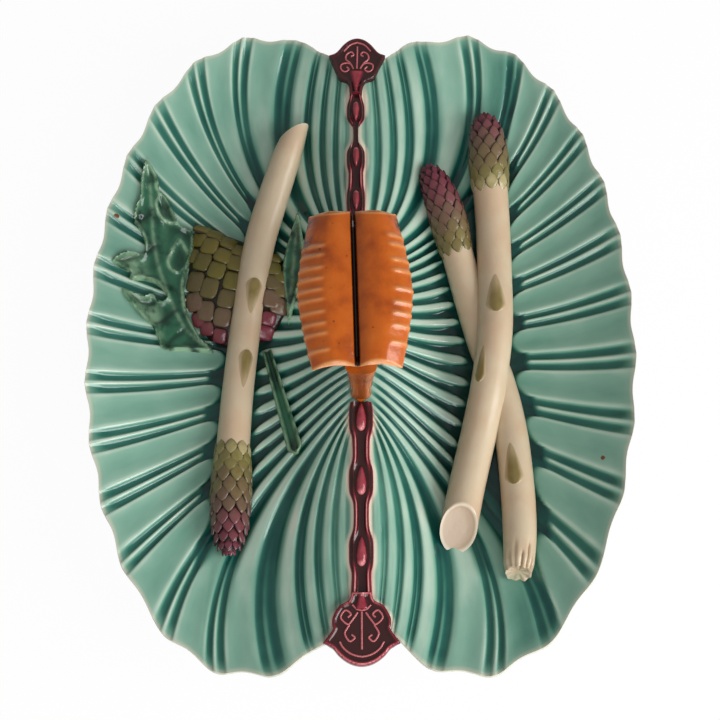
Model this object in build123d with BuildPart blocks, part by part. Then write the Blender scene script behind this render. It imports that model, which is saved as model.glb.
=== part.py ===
"""Asparagus plate: twin fluted shell dishes, a bead-and-palmette centre band and an arched handle,
with asparagus spears, an artichoke and leaves laid on in relief. Glazed earthenware, millimetres.
X runs across the two dishes, Y along the band, Z up. The origin is the centre of the standing plane."""

import os
from math import acos, atan2, cos, degrees, exp, hypot, pi, radians, sin

from build123d import *

# Twin dishes: each is an oval bowl, and the two meet in a rounded ridge
lobe_centre_x = 56.3
lobe_half_width = 93.6
lobe_half_length = 185.0
rim_height = 40.0
floor_height = 12.0
bowl_power = 2.4
ridge_spread = 33.0
wall_at_floor = 7.0
wall_at_rim = 5.0
lip_undercut = 3.0

# Flutes: raised strips fan from the hinge in the middle of the plate to the rim, with a groove at each rib
ribs_each_way = 8
rib_pitch = 10.6
rib_bow = 50.0
rib_bow_fade = 14.0
rib_pull = 0.45
flute_depth = 2.2
flute_depth_hinge = 0.6
flute_full_depth_at = 0.45
flute_fade = (2.0, 22.0)
scallop_depth = 1.8
hinge_half_width = 9.0
hinge_half_length = 40.0
flute_steps = 4
seam_steps = 6
rib_steps = 10
skin_tolerance = 0.02

# Pieces are stuck to each other with slip, which leaves a thin joint
slip_gap = 0.15

# Foot rings
foot_centre_x = 66.0
foot_half_width = 28.0
foot_half_length = 90.0
foot_width = 6.0

# Centre band with beads, and a boss on each bead
band_thickness = 3.0
neck_half_width = 3.0
bead_half_width = 5.6
bead_half_length = 8.0
upper_band_end = 148.0
lower_band_end = 144.0
upper_beads = (80.0, 107.0, 134.0)
lower_beads = (-50.0, -85.0, -122.0)
boss_half_width = 2.6
boss_half_length = 5.0
boss_height = 1.6
boss_round = 1.2

# Palmettes at the two ends of the band
palmette_thickness = 4.0
upper_neck_y = 157.0
upper_corner = (14.8, 172.0)
upper_tip_y = 182.0
upper_brow = (8.0, 178.5)
upper_shoulder = (11.0, 161.5)
lower_shoulder = (14.6, -153.0)
lower_waist = (15.0, -158.0)
lower_corner = (20.0, -166.5)
lower_tip_y = -178.0
lower_brow = (12.0, -174.0)
scroll_width = 1.2
scroll_height = 1.0
upper_stem = (163.0, 176.5)
upper_volutes = [(4.2, 171.6, 2.3, 160, -290), (6.3, 164.6, 2.3, 130, -300)]
lower_stem = (-168.5, -148.0)
lower_volutes = [(8.3, -151.0, 3.0, 200, 290), (6.2, -162.0, 2.7, 130, -300)]

# Handle: a cleft, barrel-shaped grip on two legs that stand on an oval plinth
handle_top = 100.0
grip_length = 87.0
grip_centre = (-3.0, 3.5)
grip_end_half_width = 22.5
grip_middle_half_width = 29.0
grip_end_drop = 3.0
grip_edge_drop = 6.0
grip_edge_thickness = 6.0
grip_crest_x = 8.0
cleft_half_width = 1.6
cleft_depth = 8.0
cleft_floor = 5.0
cleft_lip_drop = 0.6
plinth_rise = 1.0
leg_y = 34.0
leg_foot = (11.0, 9.0)
leg_head = (17.0, 11.0)
leg_round = 3.0

# Asparagus spears: stops along each one as (x, y, height of its axis over the dish, radius)
bract_thickness = 1.2
left_stalk_stops = [
    (-35, 128, 5, 6.5),
    (-43, 112, 6, 8.3),
    (-52, 88, 6, 8.6),
    (-59, 62, 8, 8.6),
    (-64, 34, 9, 8.6),
    (-67, 5, 7, 8.6),
    (-69, -28, 5, 8.8),
    (-70, -60, 5, 9.2),
]
left_bud_stops = [
    (-70, -61, 5, 9.2),
    (-70, -80, 5, 11),
    (-70, -98, 5, 10.5),
    (-70, -111, 4, 7),
    (-70, -119, 3, 2),
]
front_stalk_stops = [
    (50, -112, 8, 9.2),
    (57, -82, 8, 9.8),
    (65, -50, 9, 9.8),
    (71, -22, 12, 9.8),
    (75, 8, 13, 9.8),
    (76, 40, 9, 9.8),
    (76, 68, 7, 9.8),
    (75, 92, 7, 10.0),
]
front_bud_stops = [
    (75, 93, 7, 10),
    (74.5, 106, 7, 11.5),
    (74, 119, 6, 10.5),
    (73, 130, 5, 7),
    (72.5, 137, 4, 2),
]
back_stalk_stops = [
    (82, -131, 5, 8.4),
    (84, -108, 5, 9.0),
    (84, -80, 5, 9.2),
    (82, -50, 4, 9.2),
    (77, -22, 3, 9.0),
    (69, 2, 3, 9.0),
    (62, 28, 4, 9.0),
    (55, 56, 5, 9.0),
]
back_bud_stops = [
    (54.7, 57, 5, 9),
    (51.5, 70, 5, 10.6),
    (47.5, 84, 5, 10),
    (43, 97, 4, 6.5),
    (40, 105, 3, 2),
]

# Bracts on the stalks as (x, y, length, width, heading in degrees)
left_bracts = [(-65, 32, 16, 8, 262), (-66, -12, 20, 8, 265)]
front_bracts = [(75, 32, 24, 11, 90), (67, -36, 20, 8, 75)]
back_bracts = [(83, -68, 24, 11, 90)]

# Artichoke: a half-sunk round head diced into overlapping bracts
head_x = -71.0
head_y = 37.0
head_half_width = 27.5
head_half_length = 38.0
head_rise = 14.0
head_bract_thickness = 2.2
head_groove = 1.0
head_row_pitch = 13.5
head_row_heading = -27.0
head_column_pitch = 8.7
head_column_heading = 95.0
smallest_bract = 15.0

# Leaves laid in the left dish
leaf_edge_thickness = 2.2
leaf_midrib_rise = 2.2
leaf_midrib_spread = 8.0
large_leaf_tip = (-124, 110)
large_leaf_base = (-86, 0)
large_leaf_outline = [
    (-124, 110),
    (-127, 88),
    (-121, 58),
    (-137, 47),
    (-114, 31),
    (-132, 27),
    (-123, 11),
    (-110, -3),
    (-86, 0),
    (-100.5, 22),
    (-103.5, 45),
    (-103, 62),
    (-113, 92),
]
large_leaf_reach = (-145, -78, -12, 120)
small_leaf_tip = (-31, 96)
small_leaf_base = (-45, 22)
small_leaf_width = 14.0
small_leaf_reach = (-60, -15, 10, 106)
stalk_from = (-52.5, -3.0)
stalk_to = (-35.0, -64.0)
stalk_width = 7.0
stalk_reach = (-66, -20, -76, 10)
stalk_height = 3.4
stalk_groove_width = 2.6
stalk_groove_floor = 1.8

# Heights that clear the reliefs, and the grid of the beds, for trimming one piece to another
below_all = -5.0
above_all = 70.0
bed_step = 6.0


def rim_share(x, y):
    """Elliptical distance from a dish's middle: 0 there, 1 on the rim."""
    return hypot((abs(x) - lobe_centre_x) / lobe_half_width, y / lobe_half_length)


def bed_height(x, y):
    """Height of the smooth upper surface that the flutes are pressed into."""
    bowl = rim_share(x, y) ** bowl_power
    ridge = exp(-((x / ridge_spread) ** 2))
    return rim_height - (rim_height - floor_height) * (1 - bowl) * (1 - ridge)


def under_height(x, y):
    """Height of the dish's underside: the clay thins from the floor to the lip."""
    return bed_height(x, y) - wall_at_floor - (wall_at_rim - wall_at_floor) * rim_share(x, y) ** 2


def fade(value, start, end):
    """0 up to start, 1 from end on, smooth between."""
    share = min(1.0, max(0.0, (value - start) / (end - start)))
    return share * share * (3 - 2 * share)


# The last half flute on each side ends where the two rims meet on the band
fan_end = ribs_each_way + 0.5
seam_angle = degrees(acos(-lobe_centre_x / lobe_half_width))
rib_spread = (seam_angle - rib_pitch * fan_end) / fan_end**3


def fan_point(rib, along, inset):
    """Plan point on a dish: rib counts the fan, along runs from the hinge to the rim."""
    angle = radians(rib_pitch * rib + rib_spread * rib**3)
    shrink = 1 - inset / lobe_half_width * fade(fan_end - abs(rib), 0, 0.5)
    end_x = max(0.0, lobe_centre_x + lobe_half_width * cos(angle) * shrink)
    end_y = lobe_half_length * sin(angle) * shrink
    turn = pi / 2 * rib / fan_end
    start_x = hinge_half_width * max(0.0, cos(turn))
    start_y = hinge_half_length * sin(turn)
    bow = rib_bow * abs(end_y / lobe_half_length) ** 3 * (1 - exp(-end_x / rib_bow_fade))
    mid_x = (start_x + end_x) / 2 + bow
    mid_y = start_y / 2 + rib_pull * end_y
    x = (1 - along) ** 2 * start_x + 2 * along * (1 - along) * mid_x + along**2 * end_x
    y = (1 - along) ** 2 * start_y + 2 * along * (1 - along) * mid_y + along**2 * end_y
    return x, y


def upper_point(rib, along):
    """Point on the fluted upper skin of the right dish: grooves at the ribs, scallops between them."""
    groove = 0.5 + 0.5 * cos(2 * pi * rib)
    x, y = fan_point(rib, along, scallop_depth * (1 - groove))
    depth = flute_depth_hinge + (flute_depth - flute_depth_hinge) * fade(along, 0, flute_full_depth_at)
    return Vector(x, y, bed_height(x, y) - depth * groove * fade(x, *flute_fade))


def lower_point(rib, along):
    """Point on the smooth lower skin of the right dish, drawn in under the lip."""
    x, y = fan_point(rib, along, lip_undercut)
    return Vector(x, y, under_height(x, y))


def fan_face(point, steps):
    """Skin through a grid of fan points, with so many steps to each flute."""
    open_fan = [i / steps for i in range(-ribs_each_way * steps, ribs_each_way * steps + 1)]
    seam_fan = [ribs_each_way + 0.5 * (i + 1) / seam_steps for i in range(seam_steps)]
    ribs = [-rib for rib in reversed(seam_fan)] + open_fan + seam_fan
    stops = [i / rib_steps for i in range(rib_steps + 1)]
    grid = [[point(rib, stop) for stop in stops] for rib in ribs]
    return Face.make_surface_from_array_of_points(grid, tol=skin_tolerance)


def height_face(height, x_from, x_to, y_from, y_to):
    """Smooth face over a rectangle of the plan."""
    across = round(abs(x_to - x_from) / bed_step)
    along = round((y_to - y_from) / (2 * bed_step))
    xs = [x_from + (x_to - x_from) * i / across for i in range(across + 1)]
    ys = [y_from + (y_to - y_from) * j / along for j in range(along + 1)]
    return Face.make_surface_from_array_of_points([[Vector(x, y, height(x, y)) for y in ys] for x in xs])


def down_from(face):
    """Everything under a face."""
    return extrude(face, amount=above_all - below_all, dir=(0, 0, -1))


def up_from(face):
    """Everything over a face."""
    return extrude(face, amount=above_all - below_all, dir=(0, 0, 1))


def seat(x, y):
    """Surface that a relief is stuck on: the rib crests plus the slip."""
    return bed_height(x, y) + slip_gap


bed_reach = (8.0, 142.0, -150.0, 150.0)
right_bed = down_from(height_face(seat, *bed_reach))
left_bed = mirror(right_bed, about=Plane.YZ)
ridge_bed = down_from(height_face(seat, -2 * bead_half_width, 2 * bead_half_width, *bed_reach[2:]))


def relief_bar(stops, grow=0.0):
    """Round bar through the stops, following the dish."""
    centres = [Vector(x, y, bed_height(x, y) + lift) for x, y, lift, radius in stops]
    with BuildPart() as bar:
        for i, stop in enumerate(stops):
            heading = centres[min(i + 1, len(stops) - 1)] - centres[max(i - 1, 0)]
            across = Vector(0, 0, 1).cross(heading)
            with BuildSketch(Plane(centres[i], x_dir=across, z_dir=heading)):
                Circle(stop[3] + grow)
        loft()
    return bar.part


def pointed_oval(x, y, length, width, heading):
    """Upright prism on a pointed oval, its far point in the heading."""
    with BuildPart() as prism:
        with BuildSketch(Plane((x, y, below_all), x_dir=Vector(1, 0).rotate(Axis.Z, heading))):
            with BuildLine():
                ThreePointArc((-length / 2, 0), (0, width / 2), (length / 2, 0))
                ThreePointArc((-length / 2, 0), (0, -width / 2), (length / 2, 0))
            make_face()
        extrude(amount=above_all - below_all)
    return prism.part


def finish(name, builder):
    """Name a finished piece and write it."""
    builder.part.label = name
    export_step(builder.part, f"parts/{name}.step")


os.makedirs("parts", exist_ok=True)

# Right dish: fluted upper skin, smooth lower skin and a lip, hinge and seam edge all round
upper_skin = fan_face(upper_point, flute_steps)
lower_skin = fan_face(lower_point, 2)
edge_skins = []
for upper_edge in upper_skin.edges():
    middle = upper_edge.position_at(0.5)
    below = lower_skin.edges().sort_by_distance(middle)[0]
    edge_skins.append(Face.make_surface_from_curves(upper_edge, below))
with BuildPart() as right_dish:
    add(Solid(Shell([upper_skin, lower_skin, *edge_skins])))
finish("right_dish", right_dish)

# Left dish: the same shell the other way round
mirrored_dish = mirror(right_dish.part, about=Plane.YZ)
with BuildPart() as left_dish:
    add(mirrored_dish)
finish("left_dish", left_dish)


# Foot rings, cut to the underside
def below_dish(x, y):
    return under_height(x, y) - slip_gap


foot_reach = foot_half_width + foot_width
foot_span = foot_half_length + foot_width
over_foot = up_from(
    height_face(below_dish, foot_centre_x - foot_reach, foot_centre_x + foot_reach, -foot_span, foot_span)
)
with BuildPart() as right_foot_ring:
    with BuildSketch():
        with Locations((foot_centre_x, 0)):
            Ellipse(foot_half_width, foot_half_length)
            Ellipse(foot_half_width - foot_width, foot_half_length - foot_width, mode=Mode.SUBTRACT)
    extrude(amount=rim_height)
    add(over_foot, mode=Mode.SUBTRACT)
finish("right_foot_ring", right_foot_ring)
mirrored_ring = mirror(right_foot_ring.part, about=Plane.YZ)
with BuildPart() as left_foot_ring:
    add(mirrored_ring)
finish("left_foot_ring", left_foot_ring)

# Oval plinth that plugs the hinge between the dishes and carries the handle
plinth_top = rim_height + plinth_rise
plinth_bottom = under_height(0, 0)
with BuildPart() as plinth:
    with BuildSketch(Plane.XY.offset(plinth_bottom)):
        Ellipse(hinge_half_width - slip_gap, hinge_half_length - slip_gap)
    extrude(amount=plinth_top - plinth_bottom)
finish("plinth", plinth)

# Centre band: an upper and a lower run, necked between the beads
band_bottom = rim_height + slip_gap
band_top = band_bottom + band_thickness


def band_half_width(y, beads):
    swell = max(exp(-(((y - bead) / bead_half_length) ** 4)) for bead in beads)
    return neck_half_width + (bead_half_width - neck_half_width) * swell


band_steps = 24
for name, beads, end in (
    ("upper_band", upper_beads, upper_band_end),
    ("lower_band", lower_beads, -lower_band_end),
):
    start = hinge_half_length * end / abs(end)
    ys = [start + (end - start) * i / band_steps for i in range(band_steps + 1)]
    with BuildPart() as band:
        with BuildSketch(Plane.XY.offset(band_top)):
            with BuildLine():
                right_edge = Spline(*[(band_half_width(y, beads), y) for y in ys])
                left_edge = Spline(*[(-band_half_width(y, beads), y) for y in ys])
                Line(left_edge @ 0, right_edge @ 0)
                Line(left_edge @ 1, right_edge @ 1)
            make_face()
        extrude(amount=-2 * band_thickness)
        add(ridge_bed, mode=Mode.SUBTRACT)
    finish(name, band)

for name, beads in (("upper_boss", upper_beads), ("lower_boss", lower_beads)):
    for number, bead in enumerate(beads, start=1):
        with BuildPart() as boss:
            with BuildSketch(Plane.XY.offset(band_top)):
                with Locations((0, bead)):
                    Ellipse(boss_half_width, boss_half_length)
            extrude(amount=boss_height)
            fillet(boss.faces().sort_by(Axis.Z)[-1].edges(), boss_round)
        finish(f"{name}_{number}", boss)

# Palmettes: a plate over the rims with a tongue that fills the notch between the dishes
tongue_depth = wall_at_rim
upper_start = (neck_half_width, upper_band_end + slip_gap)
upper_neck = (neck_half_width, upper_neck_y)
lower_start = (neck_half_width, -lower_band_end - slip_gap)
upper_half = [
    Line(upper_start, upper_neck),
    Spline(upper_neck, upper_shoulder, upper_corner),
    ThreePointArc(upper_corner, upper_brow, (0, upper_tip_y)),
]
lower_half = [
    Spline(lower_start, lower_shoulder, lower_waist, lower_corner),
    Spline(lower_corner, lower_brow, (0, lower_tip_y), tangents=[(-1, 0.1), (-1, 0)]),
]
for name, half in (("upper_palmette", upper_half), ("lower_palmette", lower_half)):
    with BuildPart() as palmette:
        with BuildSketch(Plane.XY.offset(band_bottom - tongue_depth)):
            with BuildLine():
                add(half)
                add([mirror(edge, about=Plane.YZ) for edge in half])
                start = half[0] @ 0
                Line((-start.X, start.Y), start)
            make_face()
        extrude(amount=tongue_depth + palmette_thickness)
        with BuildSketch(Plane.XY.offset(band_bottom - tongue_depth)):
            with Locations((-lobe_centre_x, 0), (lobe_centre_x, 0)):
                Ellipse(lobe_half_width + slip_gap, lobe_half_length + slip_gap)
        extrude(amount=tongue_depth, mode=Mode.SUBTRACT)
    finish(name, palmette)

# Scrolls on the palmettes: a stem and two pairs of volutes, raised like cord
palmette_top = band_bottom + palmette_thickness
for name, stem, volutes in (
    ("upper_scrolls", upper_stem, upper_volutes),
    ("lower_scrolls", lower_stem, lower_volutes),
):
    with BuildPart() as scrolls:
        with BuildSketch(Plane.XY.offset(palmette_top)):
            with BuildLine(mode=Mode.PRIVATE) as strokes:
                Line((0, stem[0]), (0, stem[1]))
                for x, y, radius, start, sweep in volutes:
                    CenterArc((x, y), radius, start, sweep)
                    CenterArc((-x, y), radius, 180 - start, -sweep)
            for stroke in strokes.edges():
                trace(stroke, line_width=scroll_width)
        extrude(amount=scroll_height)
    finish(name, scrolls)

# Handle grip: two swelling halves with a deep cleft between them, lofted through three sections
grip_sections = [(-1, grip_end_half_width), (0, grip_middle_half_width), (1, grip_end_half_width)]
with BuildPart() as handle_grip:
    for share, half_width in grip_sections:
        top = handle_top - grip_end_drop * share**2
        edge_top = (half_width, top - grip_edge_drop)
        edge_bottom = (half_width, top - grip_edge_drop - grip_edge_thickness)
        cleft_lip = (cleft_half_width, top - cleft_lip_drop)
        cleft_bottom = (0, top - cleft_depth)
        middle = (grip_centre[0], grip_centre[1] + share * grip_length / 2, 0)
        with BuildSketch(Plane(middle, x_dir=(1, 0, 0), z_dir=(0, -1, 0))):
            with BuildLine():
                ThreePointArc(cleft_lip, (grip_crest_x, top), edge_top)
                Line(edge_top, edge_bottom)
                Line(edge_bottom, (0, top - cleft_depth - cleft_floor))
                Line(cleft_bottom, cleft_lip)
                mirror(about=Plane.YZ)
            make_face()
    loft()
finish("handle_grip", handle_grip)

# Handle legs, trimmed to the underside of the grip
for name, side in (("front_leg", -1), ("back_leg", 1)):
    with BuildPart() as leg:
        with BuildSketch(Plane.XY.offset(plinth_top)):
            with Locations((0, side * leg_y)):
                RectangleRounded(*leg_foot, leg_round)
        with BuildSketch(Plane.XY.offset(handle_top - cleft_depth)):
            with Locations((0, side * leg_y)):
                RectangleRounded(*leg_head, leg_round)
        loft()
        add(handle_grip.part, mode=Mode.SUBTRACT)
        if len(leg.solids()) > 1:
            keep = leg.solids().sort_by(Axis.Z)[0]
            add(keep, mode=Mode.REPLACE)
    finish(name, leg)

# Asparagus spears: the front one crosses over the back one, which is hollowed to take it
front_bar = relief_bar(front_stalk_stops)
front_clearance = relief_bar(front_stalk_stops, slip_gap)
left_clearance = relief_bar(left_stalk_stops, slip_gap)
with BuildPart() as left_stalk:
    add(relief_bar(left_stalk_stops))
    add(left_bed, mode=Mode.SUBTRACT)
finish("left_spear_stalk", left_stalk)
with BuildPart() as front_stalk:
    add(front_bar)
    add(right_bed, mode=Mode.SUBTRACT)
finish("front_spear_stalk", front_stalk)
with BuildPart() as back_stalk:
    add(relief_bar(back_stalk_stops))
    add(right_bed, mode=Mode.SUBTRACT)
    add(front_clearance, mode=Mode.SUBTRACT)
finish("back_spear_stalk", back_stalk)
for name, stops, bed in (
    ("left_spear_bud", left_bud_stops, left_bed),
    ("front_spear_bud", front_bud_stops, right_bed),
    ("back_spear_bud", back_bud_stops, right_bed),
):
    with BuildPart() as bud:
        add(relief_bar(stops))
        add(bed, mode=Mode.SUBTRACT)
    finish(name, bud)

for name, stops, bracts in (
    ("left_spear_bract", left_stalk_stops, left_bracts),
    ("front_spear_bract", front_stalk_stops, front_bracts),
    ("back_spear_bract", back_stalk_stops, back_bracts),
):
    for number, (x, y, length, width, heading) in enumerate(bracts, start=1):
        lift = min(stops, key=lambda stop: hypot(stop[0] - x, stop[1] - y))[2]
        with BuildPart() as bract:
            add(pointed_oval(x, y, length, width, heading))
            add(relief_bar(stops, slip_gap + bract_thickness), mode=Mode.INTERSECT)
            add(relief_bar(stops, slip_gap), mode=Mode.SUBTRACT)
            split(bisect_by=Plane.XY.offset(bed_height(x, y) + lift), keep=Keep.TOP)
        finish(f"{name}_{number}", bract)


# Artichoke head under the left spear: a domed core, and bracts diced from a shell around it
def head_dome(grow):
    with BuildPart() as dome:
        Sphere(1)
        scale(by=(head_half_width + grow, head_half_length + grow, head_rise + grow))
    return dome.part.moved(Location((head_x, head_y, bed_height(head_x, head_y))))


with BuildPart() as artichoke_core:
    add(head_dome(0))
    add(left_bed, mode=Mode.SUBTRACT)
    add(left_clearance, mode=Mode.SUBTRACT)
finish("artichoke_core", artichoke_core)

groove_reach = 4 * head_half_length
with BuildPart() as artichoke_bracts:
    add(head_dome(slip_gap + head_bract_thickness))
    add(head_dome(slip_gap), mode=Mode.SUBTRACT)
    add(left_bed, mode=Mode.SUBTRACT)
    add(left_clearance, mode=Mode.SUBTRACT)
    for pitch, heading in ((head_row_pitch, head_row_heading), (head_column_pitch, head_column_heading)):
        lines = 2 * round(head_half_length / pitch) + 2
        with Locations(Location((head_x, head_y, 0), (0, 0, heading))):
            with GridLocations(0, pitch, 1, lines):
                Box(groove_reach, head_groove, 2 * above_all, mode=Mode.SUBTRACT)
    add([solid for solid in artichoke_bracts.solids() if solid.volume > smallest_bract], mode=Mode.REPLACE)
finish("artichoke_bracts", artichoke_bracts)


# Leaves: plan outlines draped over the left dish, thickest along the midrib
def leaf_cap(base, tip, x_from, x_to, y_from, y_to):
    """Everything over a leaf whose midrib runs from base to tip."""
    span = hypot(tip[0] - base[0], tip[1] - base[1])

    def top(x, y):
        off = ((x - base[0]) * (tip[1] - base[1]) - (y - base[1]) * (tip[0] - base[0])) / span
        return seat(x, y) + leaf_edge_thickness + leaf_midrib_rise * exp(-((off / leaf_midrib_spread) ** 2))

    return up_from(height_face(top, x_from, x_to, y_from, y_to))


head_margin = 2 * slip_gap + head_bract_thickness
with BuildPart() as large_leaf:
    with BuildSketch():
        with BuildLine():
            Spline(*large_leaf_outline, periodic=True)
        make_face()
        with Locations((head_x, head_y)):
            Ellipse(head_half_width + head_margin, head_half_length + head_margin, mode=Mode.SUBTRACT)
    extrude(amount=above_all)
    add(leaf_cap(large_leaf_base, large_leaf_tip, *large_leaf_reach), mode=Mode.SUBTRACT)
    add(left_bed, mode=Mode.SUBTRACT)
finish("large_leaf", large_leaf)

small_leaf_run = (small_leaf_tip[0] - small_leaf_base[0], small_leaf_tip[1] - small_leaf_base[1])
small_leaf_middle = (small_leaf_tip[0] - small_leaf_run[0] / 2, small_leaf_tip[1] - small_leaf_run[1] / 2)
small_leaf_heading = degrees(atan2(small_leaf_run[1], small_leaf_run[0]))
with BuildPart() as small_leaf:
    add(pointed_oval(*small_leaf_middle, hypot(*small_leaf_run), small_leaf_width, small_leaf_heading))
    add(leaf_cap(small_leaf_base, small_leaf_tip, *small_leaf_reach), mode=Mode.SUBTRACT)
    with BuildSketch():
        with Locations((head_x, head_y)):
            Ellipse(head_half_width + head_margin, head_half_length + head_margin)
    extrude(amount=above_all, mode=Mode.SUBTRACT)
    add(left_bed, mode=Mode.SUBTRACT)
finish("small_leaf", small_leaf)

# Leaf stalk: a grooved rib lying free in the left dish
stalk_run = (stalk_to[0] - stalk_from[0], stalk_to[1] - stalk_from[1])
stalk_middle = (stalk_from[0] + stalk_run[0] / 2, stalk_from[1] + stalk_run[1] / 2)
stalk_plane = Plane((*stalk_middle, 0), x_dir=(*stalk_run, 0))


def stalk_cap(height):
    """Everything more than a height over the dish, around the stalk."""
    return up_from(height_face(lambda x, y: seat(x, y) + height, *stalk_reach))


with BuildPart() as groove:
    with BuildSketch(stalk_plane):
        Rectangle(2 * hypot(*stalk_run), stalk_groove_width)
    extrude(amount=above_all)
    add(stalk_cap(stalk_groove_floor), mode=Mode.INTERSECT)
with BuildPart() as leaf_stalk:
    with BuildSketch(stalk_plane):
        Rectangle(hypot(*stalk_run), stalk_width)
    extrude(amount=above_all)
    add(left_bed, mode=Mode.SUBTRACT)
    add(stalk_cap(stalk_height), mode=Mode.SUBTRACT)
    add(groove.part, mode=Mode.SUBTRACT)
finish("leaf_stalk", leaf_stalk)
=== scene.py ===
from math import acos, cos, pi, radians, sin

import bmesh
import bpy
import numpy as np
from mathutils import Matrix, Vector
from mathutils.geometry import delaunay_2d_cdt


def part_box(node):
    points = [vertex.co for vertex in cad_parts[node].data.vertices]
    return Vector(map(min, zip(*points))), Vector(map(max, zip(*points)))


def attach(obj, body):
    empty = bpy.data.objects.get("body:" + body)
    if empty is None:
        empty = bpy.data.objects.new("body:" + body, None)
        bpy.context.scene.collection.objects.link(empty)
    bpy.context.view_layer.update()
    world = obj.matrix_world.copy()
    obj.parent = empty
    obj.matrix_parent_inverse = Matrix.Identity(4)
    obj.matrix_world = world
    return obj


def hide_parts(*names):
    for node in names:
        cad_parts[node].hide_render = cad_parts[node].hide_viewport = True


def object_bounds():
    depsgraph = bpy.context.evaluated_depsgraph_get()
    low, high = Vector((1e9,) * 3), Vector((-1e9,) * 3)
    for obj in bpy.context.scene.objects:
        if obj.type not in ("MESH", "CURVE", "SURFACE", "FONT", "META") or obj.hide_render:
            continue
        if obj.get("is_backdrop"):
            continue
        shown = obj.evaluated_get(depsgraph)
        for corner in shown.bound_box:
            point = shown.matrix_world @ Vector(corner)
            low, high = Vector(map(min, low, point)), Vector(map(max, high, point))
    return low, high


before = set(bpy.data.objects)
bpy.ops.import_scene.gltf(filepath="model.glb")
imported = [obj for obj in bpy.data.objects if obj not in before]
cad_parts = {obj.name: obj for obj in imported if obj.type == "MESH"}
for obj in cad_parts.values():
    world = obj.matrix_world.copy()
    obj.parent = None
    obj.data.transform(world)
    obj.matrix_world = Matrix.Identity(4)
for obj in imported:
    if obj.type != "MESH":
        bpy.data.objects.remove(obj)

cad_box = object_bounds()

# Fluted dishes: two oval earthenware shells, pressed in a mould so that ribs fan from a hinge in the
# middle of the plate to a scalloped rim. The teal glaze is thin and pale on the crests and pools dark
# in the grooves. Along the spears the flutes stop at a dark trough.
lobe_centre_x = 0.0563
lobe_half_width = 0.0936
lobe_half_length = 0.185
rim_height = 0.040
floor_height = 0.012
bowl_power = 2.4
ridge_spread = 0.033
wall_at_floor = 0.007
wall_at_rim = 0.005
lip_undercut = 0.003
lip_bulge = 0.0006
fan_end = 8.5
rib_pitch = radians(10.6)
rib_bow = 0.050
rib_bow_fade = 0.014
rib_pull = 0.45
hinge_half_width = 0.009
hinge_half_length = 0.040
scallop_depth = 0.0018
lip_pull = 0.35
# Towards the seam the ribs crowd together, and the notch between the upper rims is partly filled with clay
crowd_from = 7.3
crowd = 2.5
notch_fill = 0.007
notch_along = (0.55, 1.0)
notch_across = (0.012, 0.042)


def fade(value, start, end):
    """0 up to start, 1 from end on, smooth between."""
    share = np.clip((np.asarray(value) - start) / (end - start), 0, 1)
    return share * share * (3 - 2 * share)


def bell(value, spread):
    """1 at 0, falling off smoothly over the spread on either side."""
    return np.exp(-((value / spread) ** 2))


def rim_share(x, y):
    """Elliptical distance from a dish's middle: 0 there, 1 on the rim."""
    return np.hypot((np.abs(x) - lobe_centre_x) / lobe_half_width, y / lobe_half_length)


def bed_height(x, y):
    """Height of the smooth surface that the flutes are pressed into."""
    bowl = rim_share(x, y) ** bowl_power
    ridge = bell(x, ridge_spread)
    return rim_height - (rim_height - floor_height) * (1 - bowl) * (1 - ridge)


def under_height(x, y):
    """Height of a dish's underside."""
    return bed_height(x, y) - wall_at_floor - (wall_at_rim - wall_at_floor) * rim_share(x, y) ** 2


seam_angle = acos(-lobe_centre_x / lobe_half_width)
rib_spread = (seam_angle - rib_pitch * fan_end) / fan_end**3


def fan_point(rib, along, inset):
    """Plan point on a dish: rib counts the fan, along runs from the hinge to the rim."""
    angle = rib_pitch * rib + rib_spread * rib**3
    shrink = 1 - inset / lobe_half_width * fade(fan_end - np.abs(rib), 0, 0.5)
    end_x = np.maximum(0, lobe_centre_x + lobe_half_width * np.cos(angle) * shrink)
    end_y = lobe_half_length * np.sin(angle) * shrink
    turn = pi / 2 * rib / fan_end
    start_x = hinge_half_width * np.maximum(0, np.cos(turn))
    start_y = hinge_half_length * np.sin(turn)
    bow = rib_bow * np.abs(end_y / lobe_half_length) ** 3 * (1 - np.exp(-end_x / rib_bow_fade))
    mid_x = (start_x + end_x) / 2 + bow
    mid_y = start_y / 2 + rib_pull * end_y
    x = (1 - along) ** 2 * start_x + 2 * along * (1 - along) * mid_x + along**2 * end_x
    y = (1 - along) ** 2 * start_y + 2 * along * (1 - along) * mid_y + along**2 * end_y
    return x, y


def smooth_curve(points, count):
    """Rounded line through a few points, as so many points."""
    points = np.array(points, float)
    padded = np.vstack([2 * points[0] - points[1], points, 2 * points[-1] - points[-2]])
    t = np.linspace(0, len(points) - 1, count)
    i = np.minimum(t.astype(int), len(points) - 2)
    f = (t - i)[:, None]
    p0, p1, p2, p3 = padded[i], padded[i + 1], padded[i + 2], padded[i + 3]
    cubic = 3 * p1 - p0 - 3 * p2 + p3
    square = 2 * p0 - 5 * p1 + 4 * p2 - p3
    return 0.5 * (2 * p1 + (p2 - p0) * f + square * f**2 + cubic * f**3)


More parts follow.
